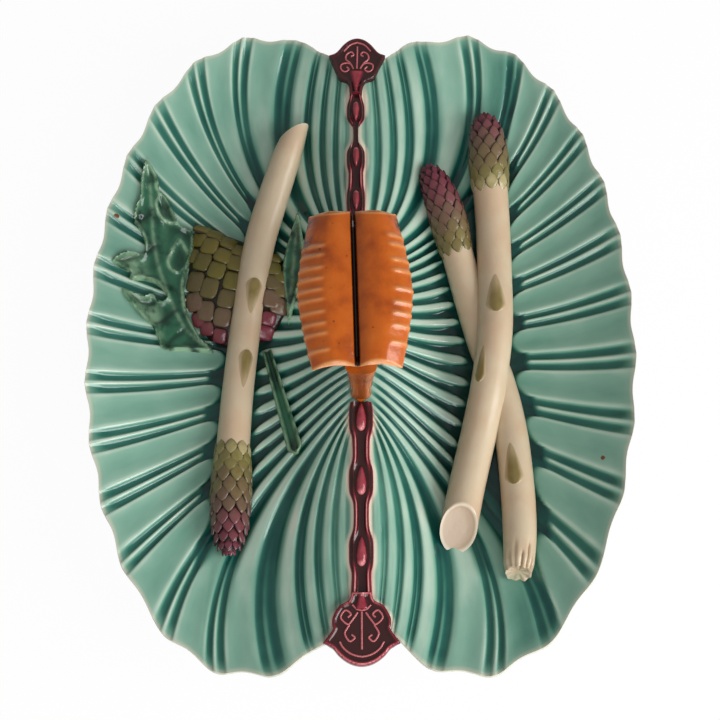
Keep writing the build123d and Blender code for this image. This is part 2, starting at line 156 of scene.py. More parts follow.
# The trim on the ridge between the dishes, whose edge leaves a cream halo on the teal. Its upper half
# leans a little to the left, as it was laid by hand.
upper_necks = [
    (0.040, 0.0045), (0.091, 0.0043), (0.099, 0.0040), (0.111, 0.0018), (0.126, 0.0018), (0.142, 0.0034),
]
lower_necks = [
    (-0.144, 0.0056), (-0.136, 0.0052), (-0.122, 0.0044), (-0.102, 0.0040), (-0.066, 0.0046),
    (-0.040, 0.0048),
]
upper_bead_size = (0.0053, 0.0078)
lower_bead_size = (0.0066, 0.0096)
upper_beads = (0.078, 0.105, 0.134)
lower_beads = (-0.0485, -0.0832, -0.1208)
upper_band_end = 0.146
lower_band_end = -0.1435
upper_foot = [
    (0.0034, 0.1440), (0.0040, 0.1495), (0.0052, 0.1523), (0.0077, 0.1536), (0.0105, 0.1558),
    (0.0136, 0.1628), (0.0163, 0.1695),
]
upper_head = [(0.0163, 0.1695), (0.0122, 0.1714), (0.0077, 0.1768), (0.0040, 0.1797), (0.0, 0.1807)]
lower_foot = [
    (0.0052, -0.1420), (0.0064, -0.1462), (0.0112, -0.1490), (0.0146, -0.1545), (0.0150, -0.1585),
    (0.0147, -0.1610), (0.0196, -0.1678),
]
lower_head = [
    (0.0196, -0.1678), (0.0150, -0.1700), (0.0118, -0.1736), (0.0080, -0.1766), (0.0040, -0.1784),
    (0.0, -0.1790),
]
ridge_lean = -0.0024
ridge_reach = 0.018
lean_full_at = 0.070
lean_eased = 0.4
lean_eases = (0.140, 0.175)


def lean(x, y):
    """Sideways shift of what lies on and beside the ridge."""
    shift = ridge_lean * fade(y, 0.0, lean_full_at) * (1 - lean_eased * fade(y, *lean_eases))
    return shift * bell(x, ridge_reach)


def bead_share(y, beads, bead_size):
    """1 on the beads of the band, 0 on its necks."""
    return np.max([np.exp(-(((y - bead) / bead_size[1]) ** 4)) for bead in beads], axis=0)


def band_half_width(y, beads, bead_size, necks):
    """Half the width of the beaded band."""
    neck_y, neck_x = np.array(necks).T
    neck = np.interp(y, neck_y, neck_x)
    return neck + (bead_size[0] - neck) * bead_share(y, beads, bead_size)


def trim_half_width(y):
    """Half the width of whatever lies on the ridge there: band, palmette or plinth."""
    upper = smooth_curve(upper_foot, 60)
    lower = smooth_curve(lower_foot, 60)[::-1]
    upper_width = band_half_width(y, upper_beads, upper_bead_size, upper_necks)
    lower_width = band_half_width(y, lower_beads, lower_bead_size, lower_necks)
    width = np.where(y > 0, upper_width, lower_width)
    width = np.where(y > upper_band_end, np.interp(y, upper[:, 1], upper[:, 0]), width)
    width = np.where(y < lower_band_end, np.interp(y, lower[:, 1], lower[:, 0]), width)
    plinth = hinge_half_width * np.sqrt(np.clip(1 - (y / hinge_half_length) ** 2, 0, 1))
    return np.maximum(width, plinth)


def tube_faces(rows, ring):
    """Quads along a tube made of rings of points, and a face over each of its two ends."""
    faces = []
    for row in range(rows - 1):
        here, beyond = row * ring, (row + 1) * ring
        for point in range(ring):
            after = (point + 1) % ring
            faces.append((here + point, here + after, beyond + after, beyond + point))
    return faces + [tuple(range(ring)), tuple(range((rows - 1) * ring, rows * ring))]


def place_object(name, data):
    """New object in the scene."""
    placed_object = bpy.data.objects.new(name, data)
    bpy.context.collection.objects.link(placed_object)
    return placed_object


sharp_edge = radians(60)


def make_piece(name, points, faces, **attributes):
    """Smooth-shaded mesh with its faces outwards and a value on each point for each attribute."""
    mesh = bpy.data.meshes.new(name)
    mesh.from_pydata(np.asarray(points, float).reshape(-1, 3).tolist(), [], faces)
    for key, values in attributes.items():
        layer = mesh.attributes.new(key, "FLOAT", "POINT")
        layer.data.foreach_set("value", np.asarray(values, np.float32).ravel())
    shape = bmesh.new()
    shape.from_mesh(mesh)
    bmesh.ops.recalc_face_normals(shape, faces=shape.faces[:])
    shape.to_mesh(mesh)
    shape.free()
    mesh.shade_smooth()
    mesh.set_sharp_from_angle(angle=sharp_edge)
    return place_object(name, mesh)


def add(tree, kind, inputs=None, **settings):
    """Node with its settings, and its inputs linked or set."""
    node = tree.nodes.new(kind)
    for key, value in settings.items():
        setattr(node, key, value)
    for key, value in (inputs or {}).items():
        if isinstance(value, bpy.types.NodeSocket):
            tree.links.new(value, node.inputs[key])
        else:
            node.inputs[key].default_value = value
    return node


def calc(tree, operation, *values):
    """Result of a sum on sockets or numbers."""
    return add(tree, "ShaderNodeMath", dict(enumerate(values)), operation=operation).outputs[0]


def times(tree, first, *others):
    """Product of sockets and numbers."""
    for other in others:
        first = calc(tree, "MULTIPLY", first, other)
    return first


def step_up(tree, value, start, end):
    """Smooth step from 0 at start to 1 at end."""
    inputs = {0: value, 1: start, 2: end}
    return add(tree, "ShaderNodeMapRange", inputs, interpolation_type="SMOOTHSTEP").outputs[0]


def mix(tree, share, first, second):
    """First value where share is 0, second where it is 1."""
    return add(tree, "ShaderNodeMix", {0: share, 2: first, 3: second}).outputs[0]


def profile(tree, value, points):
    """Curve through the points, read at a value from 0 to 1."""
    node = add(tree, "ShaderNodeFloatCurve", {"Value": value})
    curve = node.mapping.curves[0]
    curve.points[0].location = points[0]
    curve.points[1].location = points[-1]
    for point in points[1:-1]:
        curve.points.new(*point)
    node.mapping.update()
    return node.outputs[0]


def new_tree(name, **inputs):
    """Geometry tree with named inputs. Returns it and the node that gives the inputs."""
    tree = bpy.data.node_groups.new(name, "GeometryNodeTree")
    tree.interface.new_socket("Geometry", in_out="INPUT", socket_type="NodeSocketGeometry")
    tree.interface.new_socket("Geometry", in_out="OUTPUT", socket_type="NodeSocketGeometry")
    for key, kind in inputs.items():
        tree.interface.new_socket(key, in_out="INPUT", socket_type="NodeSocket" + kind)
    return tree, tree.nodes.new("NodeGroupInput")


def end_tree(tree, geometry, material):
    """Last nodes of a tree: real geometry with its material."""
    real = add(tree, "GeometryNodeRealizeInstances", {"Geometry": geometry}).outputs[0]
    glazed = add(tree, "GeometryNodeSetMaterial", {"Geometry": real, "Material": material}).outputs[0]
    add(tree, "NodeGroupOutput", {"Geometry": glazed})


def stored(tree, name, kind="FLOAT"):
    """Attribute of the points."""
    return add(tree, "GeometryNodeInputNamedAttribute", {"Name": name}, data_type=kind).outputs["Attribute"]


def run_tree(piece, tree, **values):
    """Shape a piece by a tree and keep the result as its own mesh."""
    modifier = piece.modifiers.new(tree.name, "NODES")
    modifier.node_group = tree
    for item in tree.interface.items_tree:
        if item.in_out == "INPUT" and item.name in values:
            modifier[item.identifier] = values[item.name]
    graph = bpy.context.evaluated_depsgraph_get()
    shaped = piece.evaluated_get(graph)
    mesh = bpy.data.meshes.new_from_object(shaped, preserve_all_data_layers=True, depsgraph=graph)
    piece.modifiers.remove(modifier)
    piece.data = mesh


def tint(red, green, blue):
    """Linear colour for a glaze from its 0 to 255 screen values."""
    shares = [value / 255 for value in (red, green, blue)]
    return tuple(s / 12.92 if s < 0.04045 else ((s + 0.055) / 1.055) ** 2.4 for s in shares) + (1.0,)


def new_glaze(name, roughness):
    """Glossy glaze. Returns the material, its tree and its shader."""
    material = bpy.data.materials.new(name)
    material.use_nodes = True
    shader = material.node_tree.nodes["Principled BSDF"]
    shader.inputs["Roughness"].default_value = roughness
    return material, material.node_tree, shader


def read(tree, name):
    """Attribute of the surface in a material."""
    return add(tree, "ShaderNodeAttribute", attribute_name=name).outputs["Fac"]


def ramp(tree, value, *stops):
    """Colours over a value from 0 to 1, as (place, colour)."""
    node = add(tree, "ShaderNodeValToRGB", {0: value})
    keys = node.color_ramp.elements
    for place, colour in stops[1:-1]:
        keys.new(place).color = colour
    keys[0].position, keys[0].color = stops[0]
    keys[-1].position, keys[-1].color = stops[-1]
    return node.outputs[0]


def dye(tree, share, first, second):
    """First colour where share is 0, second where it is 1."""
    return add(tree, "ShaderNodeMix", {0: share, 6: first, 7: second}, data_type="RGBA").outputs[2]


def mottle(tree, size, detail=3.0, vector=None):
    """Cloudy noise from 0 to 1, its clouds about so large."""
    place = vector or add(tree, "ShaderNodeTexCoord").outputs["Object"]
    inputs = {"Vector": place, "Scale": 1 / size, "Detail": detail}
    return add(tree, "ShaderNodeTexNoise", inputs).outputs[0]


def end_glaze(tree, shader, colour, wave_size, wave_depth):
    """Last links of a glaze: its colour, and a slight waviness of its skin."""
    tree.links.new(colour, shader.inputs["Base Color"])
    waves = {"Height": mottle(tree, wave_size), "Distance": wave_depth, "Strength": 1.0}
    tree.links.new(add(tree, "ShaderNodeBump", waves).outputs[0], shader.inputs["Normal"])


teal_thin = tint(204, 206, 190)
teal_pale = tint(172, 196, 178)
teal_panel = tint(128, 168, 149)
teal_full = tint(94, 144, 126)
teal_groove = tint(44, 104, 89)
teal_pool = tint(14, 76, 69)
teal_deep = tint(7, 50, 46)
rim_cream = tint(214, 202, 182)
halo_cream = tint(226, 212, 190)
chip_brown = tint(110, 62, 30)
chip_spots = [(0.1295, -0.0685, 0.0016), (-0.137, 0.071, 0.0018), (-0.045, -0.056, 0.0017)]
chip_ragged = 0.0022
chip_core = 0.7
glaze_runs = 0.26
glaze_clouds = 0.20

shell_glaze, tree, shader = new_glaze("shell_glaze", roughness=0.13)
down_rib = times(tree, read(tree, "along"), 2.0)
streak = add(tree, "ShaderNodeCombineXYZ", {0: read(tree, "rib"), 1: down_rib}).outputs[0]
runs = mottle(tree, 0.35, detail=2.0, vector=streak)
cloud = calc(tree, "MULTIPLY_ADD", mottle(tree, 0.03), glaze_clouds, -(glaze_runs + glaze_clouds) / 2)
drift = calc(tree, "MULTIPLY_ADD", runs, glaze_runs, cloud)
tone = calc(tree, "ADD", read(tree, "tone"), drift)
teal = ramp(
    tree, tone, (0.0, teal_thin), (0.12, teal_pale), (0.33, teal_panel), (0.55, teal_full),
    (0.75, teal_groove), (0.92, teal_pool), (1.0, teal_deep),
)
teal = dye(tree, read(tree, "halo"), teal, halo_cream)
teal = dye(tree, read(tree, "rim"), teal, rim_cream)
place = add(tree, "ShaderNodeTexCoord").outputs["Object"]
ragged = calc(tree, "MULTIPLY_ADD", mottle(tree, 0.0025), chip_ragged, -chip_ragged / 2)
for x, y, size in chip_spots:
    spot = (x, y, float(bed_height(x, y)))
    reach = add(tree, "ShaderNodeVectorMath", {0: place, 1: spot}, operation="DISTANCE").outputs["Value"]
    chip = step_up(tree, calc(tree, "ADD", reach, ragged), size, size * chip_core)
    teal = dye(tree, chip, teal, chip_brown)
end_glaze(tree, shader, teal, wave_size=0.006, wave_depth=0.00008)

# The flutes as shares of their depth over half a flute, from the thin ridge to the middle of the panel
panel_shape = [
    (0, 0.14), (0.04, 0.18), (0.09, 0.55), (0.16, 0.86), (0.28, 0.88), (0.36, 0.5), (0.44, 0.08),
    (0.56, 0.12), (0.75, 0.28), (1, 0.4),
]
panel_tone = [
    (0, 0.06), (0.045, 0.16), (0.10, 0.62), (0.17, 0.80), (0.29, 0.78), (0.37, 0.48), (0.44, 0.13),
    (0.53, 0.29), (0.7, 0.38), (1, 0.42),
]
strip_shape = [(0, 1.0), (0.18, 0.97), (0.32, 0.86), (0.44, 0.6), (0.56, 0.25), (0.70, 0.05), (1, 0.0)]
strip_tone = [(0, 0.94), (0.22, 0.91), (0.36, 0.82), (0.46, 0.60), (0.56, 0.34), (0.70, 0.18), (1, 0.11)]
trough_shape = 0.8
trough_tone = 0.98
extra_strips = 2
extra_strips_to = 5.0
panel_half_share = 0.60
strip_half_share = 0.50
flute_depth = 0.0024
spear_half_gap = 0.0095
panel_end = 0.008
end_slope = (-0.0015, 0.0020)
# In ribs from the middle of a dish: how far the trough along the spears goes, and where the seam begins
spears_to = (6.2, 4.2)
seam_from = (6.2, 7.2)
# As shares of the way from the hinge to the rim, with what is left of the depth at either end
panels_from = (0.45, 0.95)
panels_at_seam = 0.35
hinge_slope_to, hinge_depth = 0.25, 0.4
lip_slope_from, lip_depth = 0.93, 0.45
# Beside the ridge the flutes run out. Tones go from 0, thin and pale, to 1, pooled and dark
ridge_slope = (0.002, 0.010)
ridge_tone, ridge_tone_slope = 0.32, (0.002, 0.012)
lip_tone, lip_tone_from, lip_tone_share = 0.30, 0.94, 0.5
soft_tone = 0.40
under_tone = 0.42

tree, given = new_tree(
    "shell_flutes", flute_depth="Float", spear_half_gap="Float", panel_end="Float", glaze="Material"
)
rib, along, across, upper, soft = [stored(tree, name) for name in ("rib", "along", "across", "upper", "soft")]


def off_rib(rib):
    """0 on a rib, 1 halfway to the next."""
    near = calc(tree, "ABSOLUTE", calc(tree, "SUBTRACT", rib, calc(tree, "ROUND", rib)))
    return times(tree, near, 2.0)


share = off_rib(rib)
inner_share = off_rib(stored(tree, "inner_rib"))


def rounded_end(half_share, past_spear, from_rib):
    """Where a panel or strip has begun, past the spear that it ends at, with a round end."""
    from_middle = calc(tree, "SUBTRACT", 1.0, from_rib)
    off = calc(tree, "MINIMUM", calc(tree, "DIVIDE", from_middle, half_share), 1.0)
    drop = calc(tree, "SQRT", calc(tree, "SUBTRACT", 1.0, times(tree, off, off)))
    setback = times(tree, calc(tree, "SUBTRACT", 1.0, drop), given.outputs["panel_end"])
    start = calc(tree, "ADD", given.outputs["spear_half_gap"], setback)
    beyond = calc(tree, "SUBTRACT", stored(tree, past_spear), start)
    return step_up(tree, beyond, *end_slope)


in_panel = rounded_end(panel_half_share, "past_outer", share)
in_strip = rounded_end(strip_half_share, "past_inner", inner_share)
in_trough = calc(tree, "SUBTRACT", calc(tree, "SUBTRACT", 1.0, in_panel), in_strip)
from_middle_rib = calc(tree, "ABSOLUTE", rib)
spear_zone = step_up(tree, from_middle_rib, *spears_to)
at_seam = step_up(tree, from_middle_rib, *seam_from)
run_out = times(tree, step_up(tree, along, *panels_from), mix(tree, at_seam, 1.0, panels_at_seam))


def over_dish(panel_points, strip_points, trough):
    """Flute curve over the whole dish: strips near the hinge, panels near the rim, trough between."""
    panel = profile(tree, share, panel_points)
    strip = profile(tree, inner_share, strip_points)
    pooled = times(tree, calc(tree, "MAXIMUM", in_trough, 0.0), trough)
    parted = calc(tree, "MULTIPLY_ADD", in_panel, panel, calc(tree, "MULTIPLY_ADD", in_strip, strip, pooled))
    return mix(tree, spear_zone, mix(tree, run_out, strip, panel), parted)


at_hinge = mix(tree, step_up(tree, along, 0.0, hinge_slope_to), hinge_depth, 1.0)
at_ridge = step_up(tree, across, *ridge_slope)
at_lip = mix(tree, step_up(tree, along, lip_slope_from, 1.0), 1.0, lip_depth)
at_band = calc(tree, "SUBTRACT", 1.0, soft)
depth = times(
    tree, over_dish(panel_shape, strip_shape, trough_shape), at_hinge, at_ridge, at_lip, at_band, upper,
    given.outputs["flute_depth"],
)
drop = add(tree, "ShaderNodeCombineXYZ", {2: times(tree, depth, -1.0)}).outputs[0]
pressed = add(tree, "GeometryNodeSetPosition", {"Geometry": given.outputs[0], "Offset": drop}).outputs[0]
tone = over_dish(panel_tone, strip_tone, trough_tone)
tone = mix(tree, step_up(tree, across, *ridge_tone_slope), ridge_tone, tone)
tone = mix(tree, soft, tone, soft_tone)
tone = mix(tree, times(tree, step_up(tree, along, lip_tone_from, 1.0), lip_tone_share), tone, lip_tone)
tone = mix(tree, upper, under_tone, tone)
toned = add(tree, "GeometryNodeStoreNamedAttribute", {"Geometry": pressed, "Name": "tone", "Value": tone})
end_tree(tree, toned.outputs[0], given.outputs["glaze"])
shell_flutes = tree

half_flute_stops = [
    0.018, 0.036, 0.055, 0.08, 0.11, 0.14, 0.16, 0.18, 0.20, 0.22, 0.245, 0.275, 0.31, 0.35, 0.39, 0.43,
    0.47,
]
flute_stops = [-stop for stop in reversed(half_flute_stops)] + [0.0] + half_flute_stops
top_stops = np.concatenate(
    [np.linspace(0, 0.3, 14), np.linspace(0.3, 0.65, 46)[1:], np.linspace(0.65, 1, 24)[1:]]
)
lip_stops = np.array([0.12, 0.3, 0.5, 0.7, 0.88])
bottom_stops = np.linspace(1, 0, 16)
# How thin the glaze is on the rim, and the cream halo along the trim, which starts clear of the plinth
rim_from, rim_thin, lip_thin = 0.982, 0.6, 0.7
halo_strength, halo_reach, halo_from = 0.85, (0.0004, 0.0026), (0.042, 0.050)
# Beside the band the flutes are softened, more in front of the handle than behind it
soft_reach = (0.010, 0.034)
soft_front, soft_front_from = 0.5, (0.045, 0.085)
soft_back, soft_back_from = 0.3, (0.06, 0.10)


def fan_shell(shifts):
    """A dish's skin, right-hand: its points round and along the ribs, its faces and its values. Each
    rib lies where the fan has it plus its shift."""

    def shift_at(rib):
        return np.interp(rib, *np.array(shifts).T)

    fine_ribs = np.linspace(-fan_end, fan_end, 4000)
    crowded = crowd * np.sign(fine_ribs) * np.maximum(0, np.abs(fine_ribs) - crowd_from) ** 2
    fine_pattern = fine_ribs - shift_at(fine_ribs) + crowded
    first, last = fine_pattern[0], fine_pattern[-1]
    flutes = range(int(first) - 1, int(last) + 2)
    pattern = np.array([flute + stop for flute in flutes for stop in flute_stops])
    pattern = pattern[(pattern > first + 0.01) & (pattern < last - 0.01)]
    pattern = np.concatenate([[first], pattern, [last]])[:, None]
    ribs = np.interp(pattern, fine_pattern, fine_ribs)
    inner_pattern = pattern + extra_strips * np.clip(pattern / extra_strips_to, -1, 1)
    trough = 0.5 - 0.5 * np.cos(2 * pi * (ribs - shift_at(ribs)))
    top_x, top_y = fan_point(ribs, top_stops[None, :], scallop_depth * trough)
    bottom_x, bottom_y = fan_point(ribs, bottom_stops[None, :], lip_undercut)
    top = np.stack([top_x, top_y, bed_height(top_x, top_y)], -1)
    bottom = np.stack([bottom_x, bottom_y, under_height(bottom_x, bottom_y)], -1)
    outer = top[:, -1:] * 0.5 + bottom[:, :1] * 0.5
    outward = top[:, -1:] - bottom[:, :1]
    bulge = np.sign(outward[..., :2]) * lip_bulge
    outer[..., :2] = top[:, -1:, :2] + outward[..., :2] * lip_pull + bulge
    outer[..., 0] = np.where(top[:, -1:, 0] <= 0, 0, np.maximum(outer[..., 0], 0))
    blend = lip_stops[None, :, None]
    lip = (1 - blend) ** 2 * top[:, -1:] + 2 * blend * (1 - blend) * outer + blend**2 * bottom[:, :1]
    shell = np.concatenate([top, lip, bottom], axis=1)
    columns, ring = shell.shape[:2]

    def round_ring(over, on_lip, under):
        """Values from the upper skin over the lip to the underside, the same at each rib."""
        stretches = zip((over, on_lip, under), (top_stops, lip_stops, bottom_stops))
        values = np.concatenate([np.broadcast_to(value, stops.shape) for value, stops in stretches])
        return np.broadcast_to(values, (columns, ring))

    across, y = shell[..., 0], shell[..., 1]
    upper = round_ring(1.0, 1 - lip_stops, 0.0)
    rim = round_ring(rim_thin * fade(top_stops, rim_from, 1.0), lip_thin, 0.0)
    halo = halo_strength * (1 - fade(across - trim_half_width(y), *halo_reach)) * fade(np.abs(y), *halo_from)
    softened = soft_front * fade(-y, *soft_front_from) + soft_back * fade(y, *soft_back_from)
    values = {
        "rib": np.broadcast_to(pattern, (columns, ring)), "across": across, "upper": upper,
        "soft": (1 - fade(across, *soft_reach)) * softened,
        "inner_rib": np.broadcast_to(inner_pattern, (columns, ring)), "rim": rim, "halo": halo * upper,
        "along": round_ring(top_stops, 1.0, bottom_stops),
    }
    return shell, tube_faces(columns, ring), values


# How far the ribs of each dish lie off an even fan, as (rib, shift)
right_shifts = [
    (-8.5, -0.45), (-6, -0.4), (-5, -0.2), (-4, 0.05), (-3, 0.33), (0, 0.66), (2, 0.68), (4, 0.5),
    (8.5, 0.5),
]
left_shifts = [(-8.5, -0.15), (-6, -0.15), (-5, -0.04), (-4, 0.2), (4, 0.15), (6, 0.35), (8.5, 0.35)]
# Where the panels and the strips end, as (y, distance from the ridge) along the spears of each dish
right_outer = [
    (-0.131, 0.082), (-0.080, 0.084), (-0.050, 0.082), (-0.022, 0.077), (0.008, 0.075), (0.137, 0.0735),
]
right_inner = [
    (-0.112, 0.050), (-0.082, 0.057), (-0.050, 0.065), (-0.022, 0.070), (0.002, 0.069), (0.028, 0.062),
    (0.057, 0.0545), (0.105, 0.040),
]
left_spear = [
    (-0.119, 0.070), (-0.028, 0.0685), (0.005, 0.0655), (0.034, 0.062), (0.062, 0.057), (0.088, 0.050),
    (0.124, 0.0385),
]
for name, side, shifts, outer_line, inner_line in (
    ("right_dish", 1, right_shifts, right_outer, right_inner),
    ("left_dish", -1, left_shifts, left_spear, left_spear),
):
    shell, shell_faces, shell_values = fan_shell(shifts)
    plan_x, plan_y = shell[..., 0], shell[..., 1]
    outer_y, outer_x = np.array(outer_line).T
    inner_y, inner_x = np.array(inner_line).T
    past_outer = plan_x - np.interp(plan_y, outer_y, outer_x)
    past_inner = np.interp(plan_y, inner_y, inner_x) - plan_x
    placed = shell * (side, 1, 1)
    placed[..., 0] += lean(placed[..., 0], placed[..., 1])
    filled = notch_fill * fade(shell_values["along"], *notch_along)
    placed[..., 1] += filled * (1 - fade(plan_x, *notch_across)) * (plan_y > 0)
    dish = make_piece(
        name + "_shell", placed, shell_faces, past_outer=past_outer, past_inner=past_inner, **shell_values
    )
    run_tree(
        dish, shell_flutes, flute_depth=flute_depth, spear_half_gap=spear_half_gap, panel_end=panel_end,
        glaze=shell_glaze,
    )
    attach(dish, "root")
    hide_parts(name)

# Foot rings: oval rings of the same clay under the wells. The glaze is wiped off where they stand, and
# the buff clay shows there.
foot_wiped_to = 0.0015
foot_wave = 0.003
buff_clay = tint(205, 180, 150)
foot_glaze, tree, shader = new_glaze("foot_glaze", roughness=0.3)
place = add(tree, "ShaderNodeTexCoord").outputs["Object"]
height = add(tree, "ShaderNodeSeparateXYZ", {0: place}).outputs[2]
wavy = calc(tree, "MULTIPLY_ADD", mottle(tree, 0.008), -foot_wave, height)
foot_teal = dye(tree, mottle(tree, 0.02), teal_panel, teal_full)
foot_colour = dye(tree, step_up(tree, wavy, 0.0, foot_wiped_to), buff_clay, foot_teal)
end_glaze(tree, shader, foot_colour, wave_size=0.004, wave_depth=0.0001)
for name in ("right_foot_ring", "left_foot_ring"):
    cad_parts[name].data.materials.clear()
    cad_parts[name].data.materials.append(foot_glaze)

# Handle: a barrel-shaped grip like a sheaf with a deep lengthwise cleft, notched along its outer edges,
# on two legs that stand on an oval plinth. Earthenware under an orange-brown glaze, paler where it thins,
# darker in and beside the cleft partly from pooled glaze and partly from painted shade.
grip_low, grip_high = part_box("handle_grip")
grip_middle_x = (grip_low.x + grip_high.x) / 2
grip_middle_y = (grip_low.y + grip_high.y) / 2
grip_half_length = (grip_high.y - grip_low.y) / 2
grip_middle_half_width = (grip_high.x - grip_low.x) / 2
grip_end_half_width = 0.0222
grip_swell = 1.4
grip_turn = radians(1.6)
grip_tip_from = 0.78
grip_end_drop = 0.003
grip_edge_drop = 0.007
grip_edge_thickness = 0.006
grip_end_thickness = 0.0012
grip_front_trim = 0.0028
grip_end_bow = 0.0018
grip_crest_share = 0.42
edge_inset = 0.0008
edge_bulge = 0.0014
belly_inset = 0.001
cleft_half_width = 0.0016
cleft_floor_half_width = 0.0003
cleft_depth = 0.008
cleft_end_depth = 0.0008
cleft_lip_drop = 0.0024
notch_height = 0.0007
notch_hollow = 0.4
notch_spread = 0.028
notch_run_in = 0.16
notch_bulge = 0.0005
# Ribs across the outer part of each half, from -1 at the front end to 1 at the back end
right_notches = [-0.715, -0.5, -0.34, -0.2, -0.02, 0.21, 0.35, 0.55, 0.67]
left_notches = [-0.80, -0.59, -0.46, -0.31, -0.15, -0.02, 0.12, 0.26, 0.42, 0.54]
# Each half as its side, its ribs, where they start across the roof, how much painted shade lies along its
# cleft edge, and where it is scorched along the grip and across the roof
grip_halves = (
    (1, right_notches, 0.60, 0.32, (0.72, 0.80), (0.90, 0.97)),
    (-1, left_notches, 0.48, 0.12, (0.44, 0.56), (0.74, 0.96)),
)
scorched_to = (0.9, 0.97)
worn_end_length = 0.0016
worn_end_height = 0.010
notch_wear, edge_wear, edge_notch_wear = 0.8, 0.35, 0.4
# Pooled glaze and painted shade fill the cleft, and painted shade runs on to the roof beside it
cleft_pool, cleft_lip_shade_to = (0.6, 1.1), 0.3
grip_rows = 201

orange_thin = tint(216, 150, 92)
orange_warm = tint(192, 98, 22)
orange_full = tint(184, 86, 8)
orange_deep = tint(152, 64, 2)
cleft_dark = tint(44, 18, 8)
spot_brown = tint(62, 24, 8)
handle_glaze, tree, shader = new_glaze("handle_glaze", roughness=0.24)
cloud = mottle(tree, 0.014, detail=4.0)
orange = ramp(tree, cloud, (0.3, orange_deep), (0.52, orange_full), (0.78, orange_warm))
orange = dye(tree, times(tree, read(tree, "wear"), 0.75), orange, orange_thin)
specks = step_up(tree, mottle(tree, 0.004, detail=2.0), 0.70, 0.76)
orange = dye(tree, times(tree, specks, 0.7), orange, spot_brown)
scorch = times(tree, read(tree, "burnt"), step_up(tree, mottle(tree, 0.006), 0.36, 0.58))
orange = dye(tree, scorch, orange, spot_brown)
# Painted shade, with pooled glaze, in and beside the cleft and on the legs
orange = dye(tree, read(tree, "pool"), orange, cleft_dark)
end_glaze(tree, shader, orange, wave_size=0.005, wave_depth=0.0003)

# Each half of a section runs up the cleft, over the roof, round the edge and back under the belly
cleft_steps = np.linspace(0, 1, 9)[:-1]
roof_steps = np.linspace(0, 1, 34)
edge_turns = np.radians(np.linspace(90, -90, 10)[1:-1])
belly_steps = np.linspace(0, 1, 12)


def round_half(cleft=0.0, roof=0.0, edge=0.0, belly=0.0):
    """Values round one half of a section of the grip."""
    stretches = zip((cleft, roof, edge, belly), (cleft_steps, roof_steps, edge_turns, belly_steps))
    return np.concatenate([np.broadcast_to(value, steps.shape) for value, steps in stretches])


outside = np.clip((roof_steps - grip_crest_share) / (1 - grip_crest_share), 0, 1)
inside = np.clip((grip_crest_share - roof_steps) / grip_crest_share, 0, 1)
vault = round_half(roof=1 - outside**2 - inside**2)
grip_narrowing = grip_middle_half_width - grip_end_half_width
points, wear, pool, burnt = [], [], [], []
for y_share in np.linspace(-1, 1, grip_rows):
    half_width = grip_middle_half_width - grip_narrowing * abs(y_share) ** grip_swell
    ridge_z = grip_high.z - grip_end_drop * y_share**2
    flat_z = ridge_z - grip_edge_drop - grip_edge_thickness
    tip = float(fade(abs(y_share), grip_tip_from, 1.0))
    thickness = grip_edge_thickness + (grip_end_thickness - grip_edge_thickness) * tip
    worn_end = 1 - float(fade((1 - abs(y_share)) * grip_half_length, 0.0, worn_end_length))
    halves = []
    for side, notches, notched_from, cleft_lip_shade, scorched_along, scorched_across in grip_halves:
        crest = sum(bell(y_share - notch, notch_spread) for notch in notches)
        notched = fade(roof_steps, notched_from, notched_from + notch_run_in)
        roof_x = cleft_half_width + (half_width - cleft_half_width) * roof_steps
        roof_z = ridge_z - grip_edge_drop * outside**2 - cleft_lip_drop * inside**2
        roof_z = roof_z + notch_height * notched * (crest - notch_hollow)
        edge_x = half_width - edge_inset + (edge_bulge + notch_bulge * crest) * np.cos(edge_turns)
        edge_z = roof_z[-1] - thickness / 2 * (1 - np.sin(edge_turns))
        belly_x = (half_width - belly_inset) * (1 - belly_steps)
        belly_z = flat_z + (np.interp(belly_x, roof_x, roof_z) - thickness - flat_z) * tip
        cleft_x = cleft_floor_half_width + (cleft_half_width - cleft_floor_half_width) * cleft_steps
        cleft_bottom = roof_z[0] - cleft_end_depth - (cleft_depth - cleft_lip_drop) * (1 - tip)
        cleft_z = cleft_bottom + (roof_z[0] - cleft_bottom) * cleft_steps
        x = side * round_half(cleft_x, roof_x, edge_x, belly_x)
        y = y_share * grip_half_length + grip_front_trim * max(0, -y_share)
        y = y - np.sign(y_share) * grip_end_bow * vault * tip
        z = round_half(cleft_z, roof_z, edge_z, belly_z)
        worn = round_half(roof=notch_wear * notched * crest, edge=edge_wear + edge_notch_wear * crest)
        worn = np.maximum(worn, worn_end * (z > ridge_z - worn_end_height))
        # Painted shade on the roof beside the cleft, stronger on the right half; inside the cleft pooled
        # glaze and painted shade
        lip_shade = cleft_lip_shade * (1 - fade(roof_steps, 0, cleft_lip_shade_to))
        dark = round_half(cleft=1 - fade(cleft_steps, *cleft_pool), roof=lip_shade)
        scorched = fade(y_share, *scorched_along) * (1 - fade(y_share, *scorched_to))
        scorched = scorched * fade(roof_steps, *scorched_across)
        halves.append((x, y, z, worn, dark, round_half(roof=scorched, edge=scorched[-1])))
    x, y, z, worn, dark, scorched = [np.concatenate([a, b[::-1][1:]]) for a, b in zip(*halves)]
    turned_x = grip_middle_x + x * cos(grip_turn) - y * sin(grip_turn)
    turned_y = grip_middle_y + x * sin(grip_turn) + y * cos(grip_turn)
    points.append(np.stack([turned_x, turned_y, z], -1))
    wear.append(worn)
    pool.append(dark)
    burnt.append(scorched)
grip_faces = tube_faces(grip_rows, len(points[0]))
grip = make_piece("handle_grip_sheaf", points, grip_faces, wear=wear, pool=pool, burnt=burnt)
grip.data.materials.append(handle_glaze)
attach(grip, "root")
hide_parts("handle_grip")

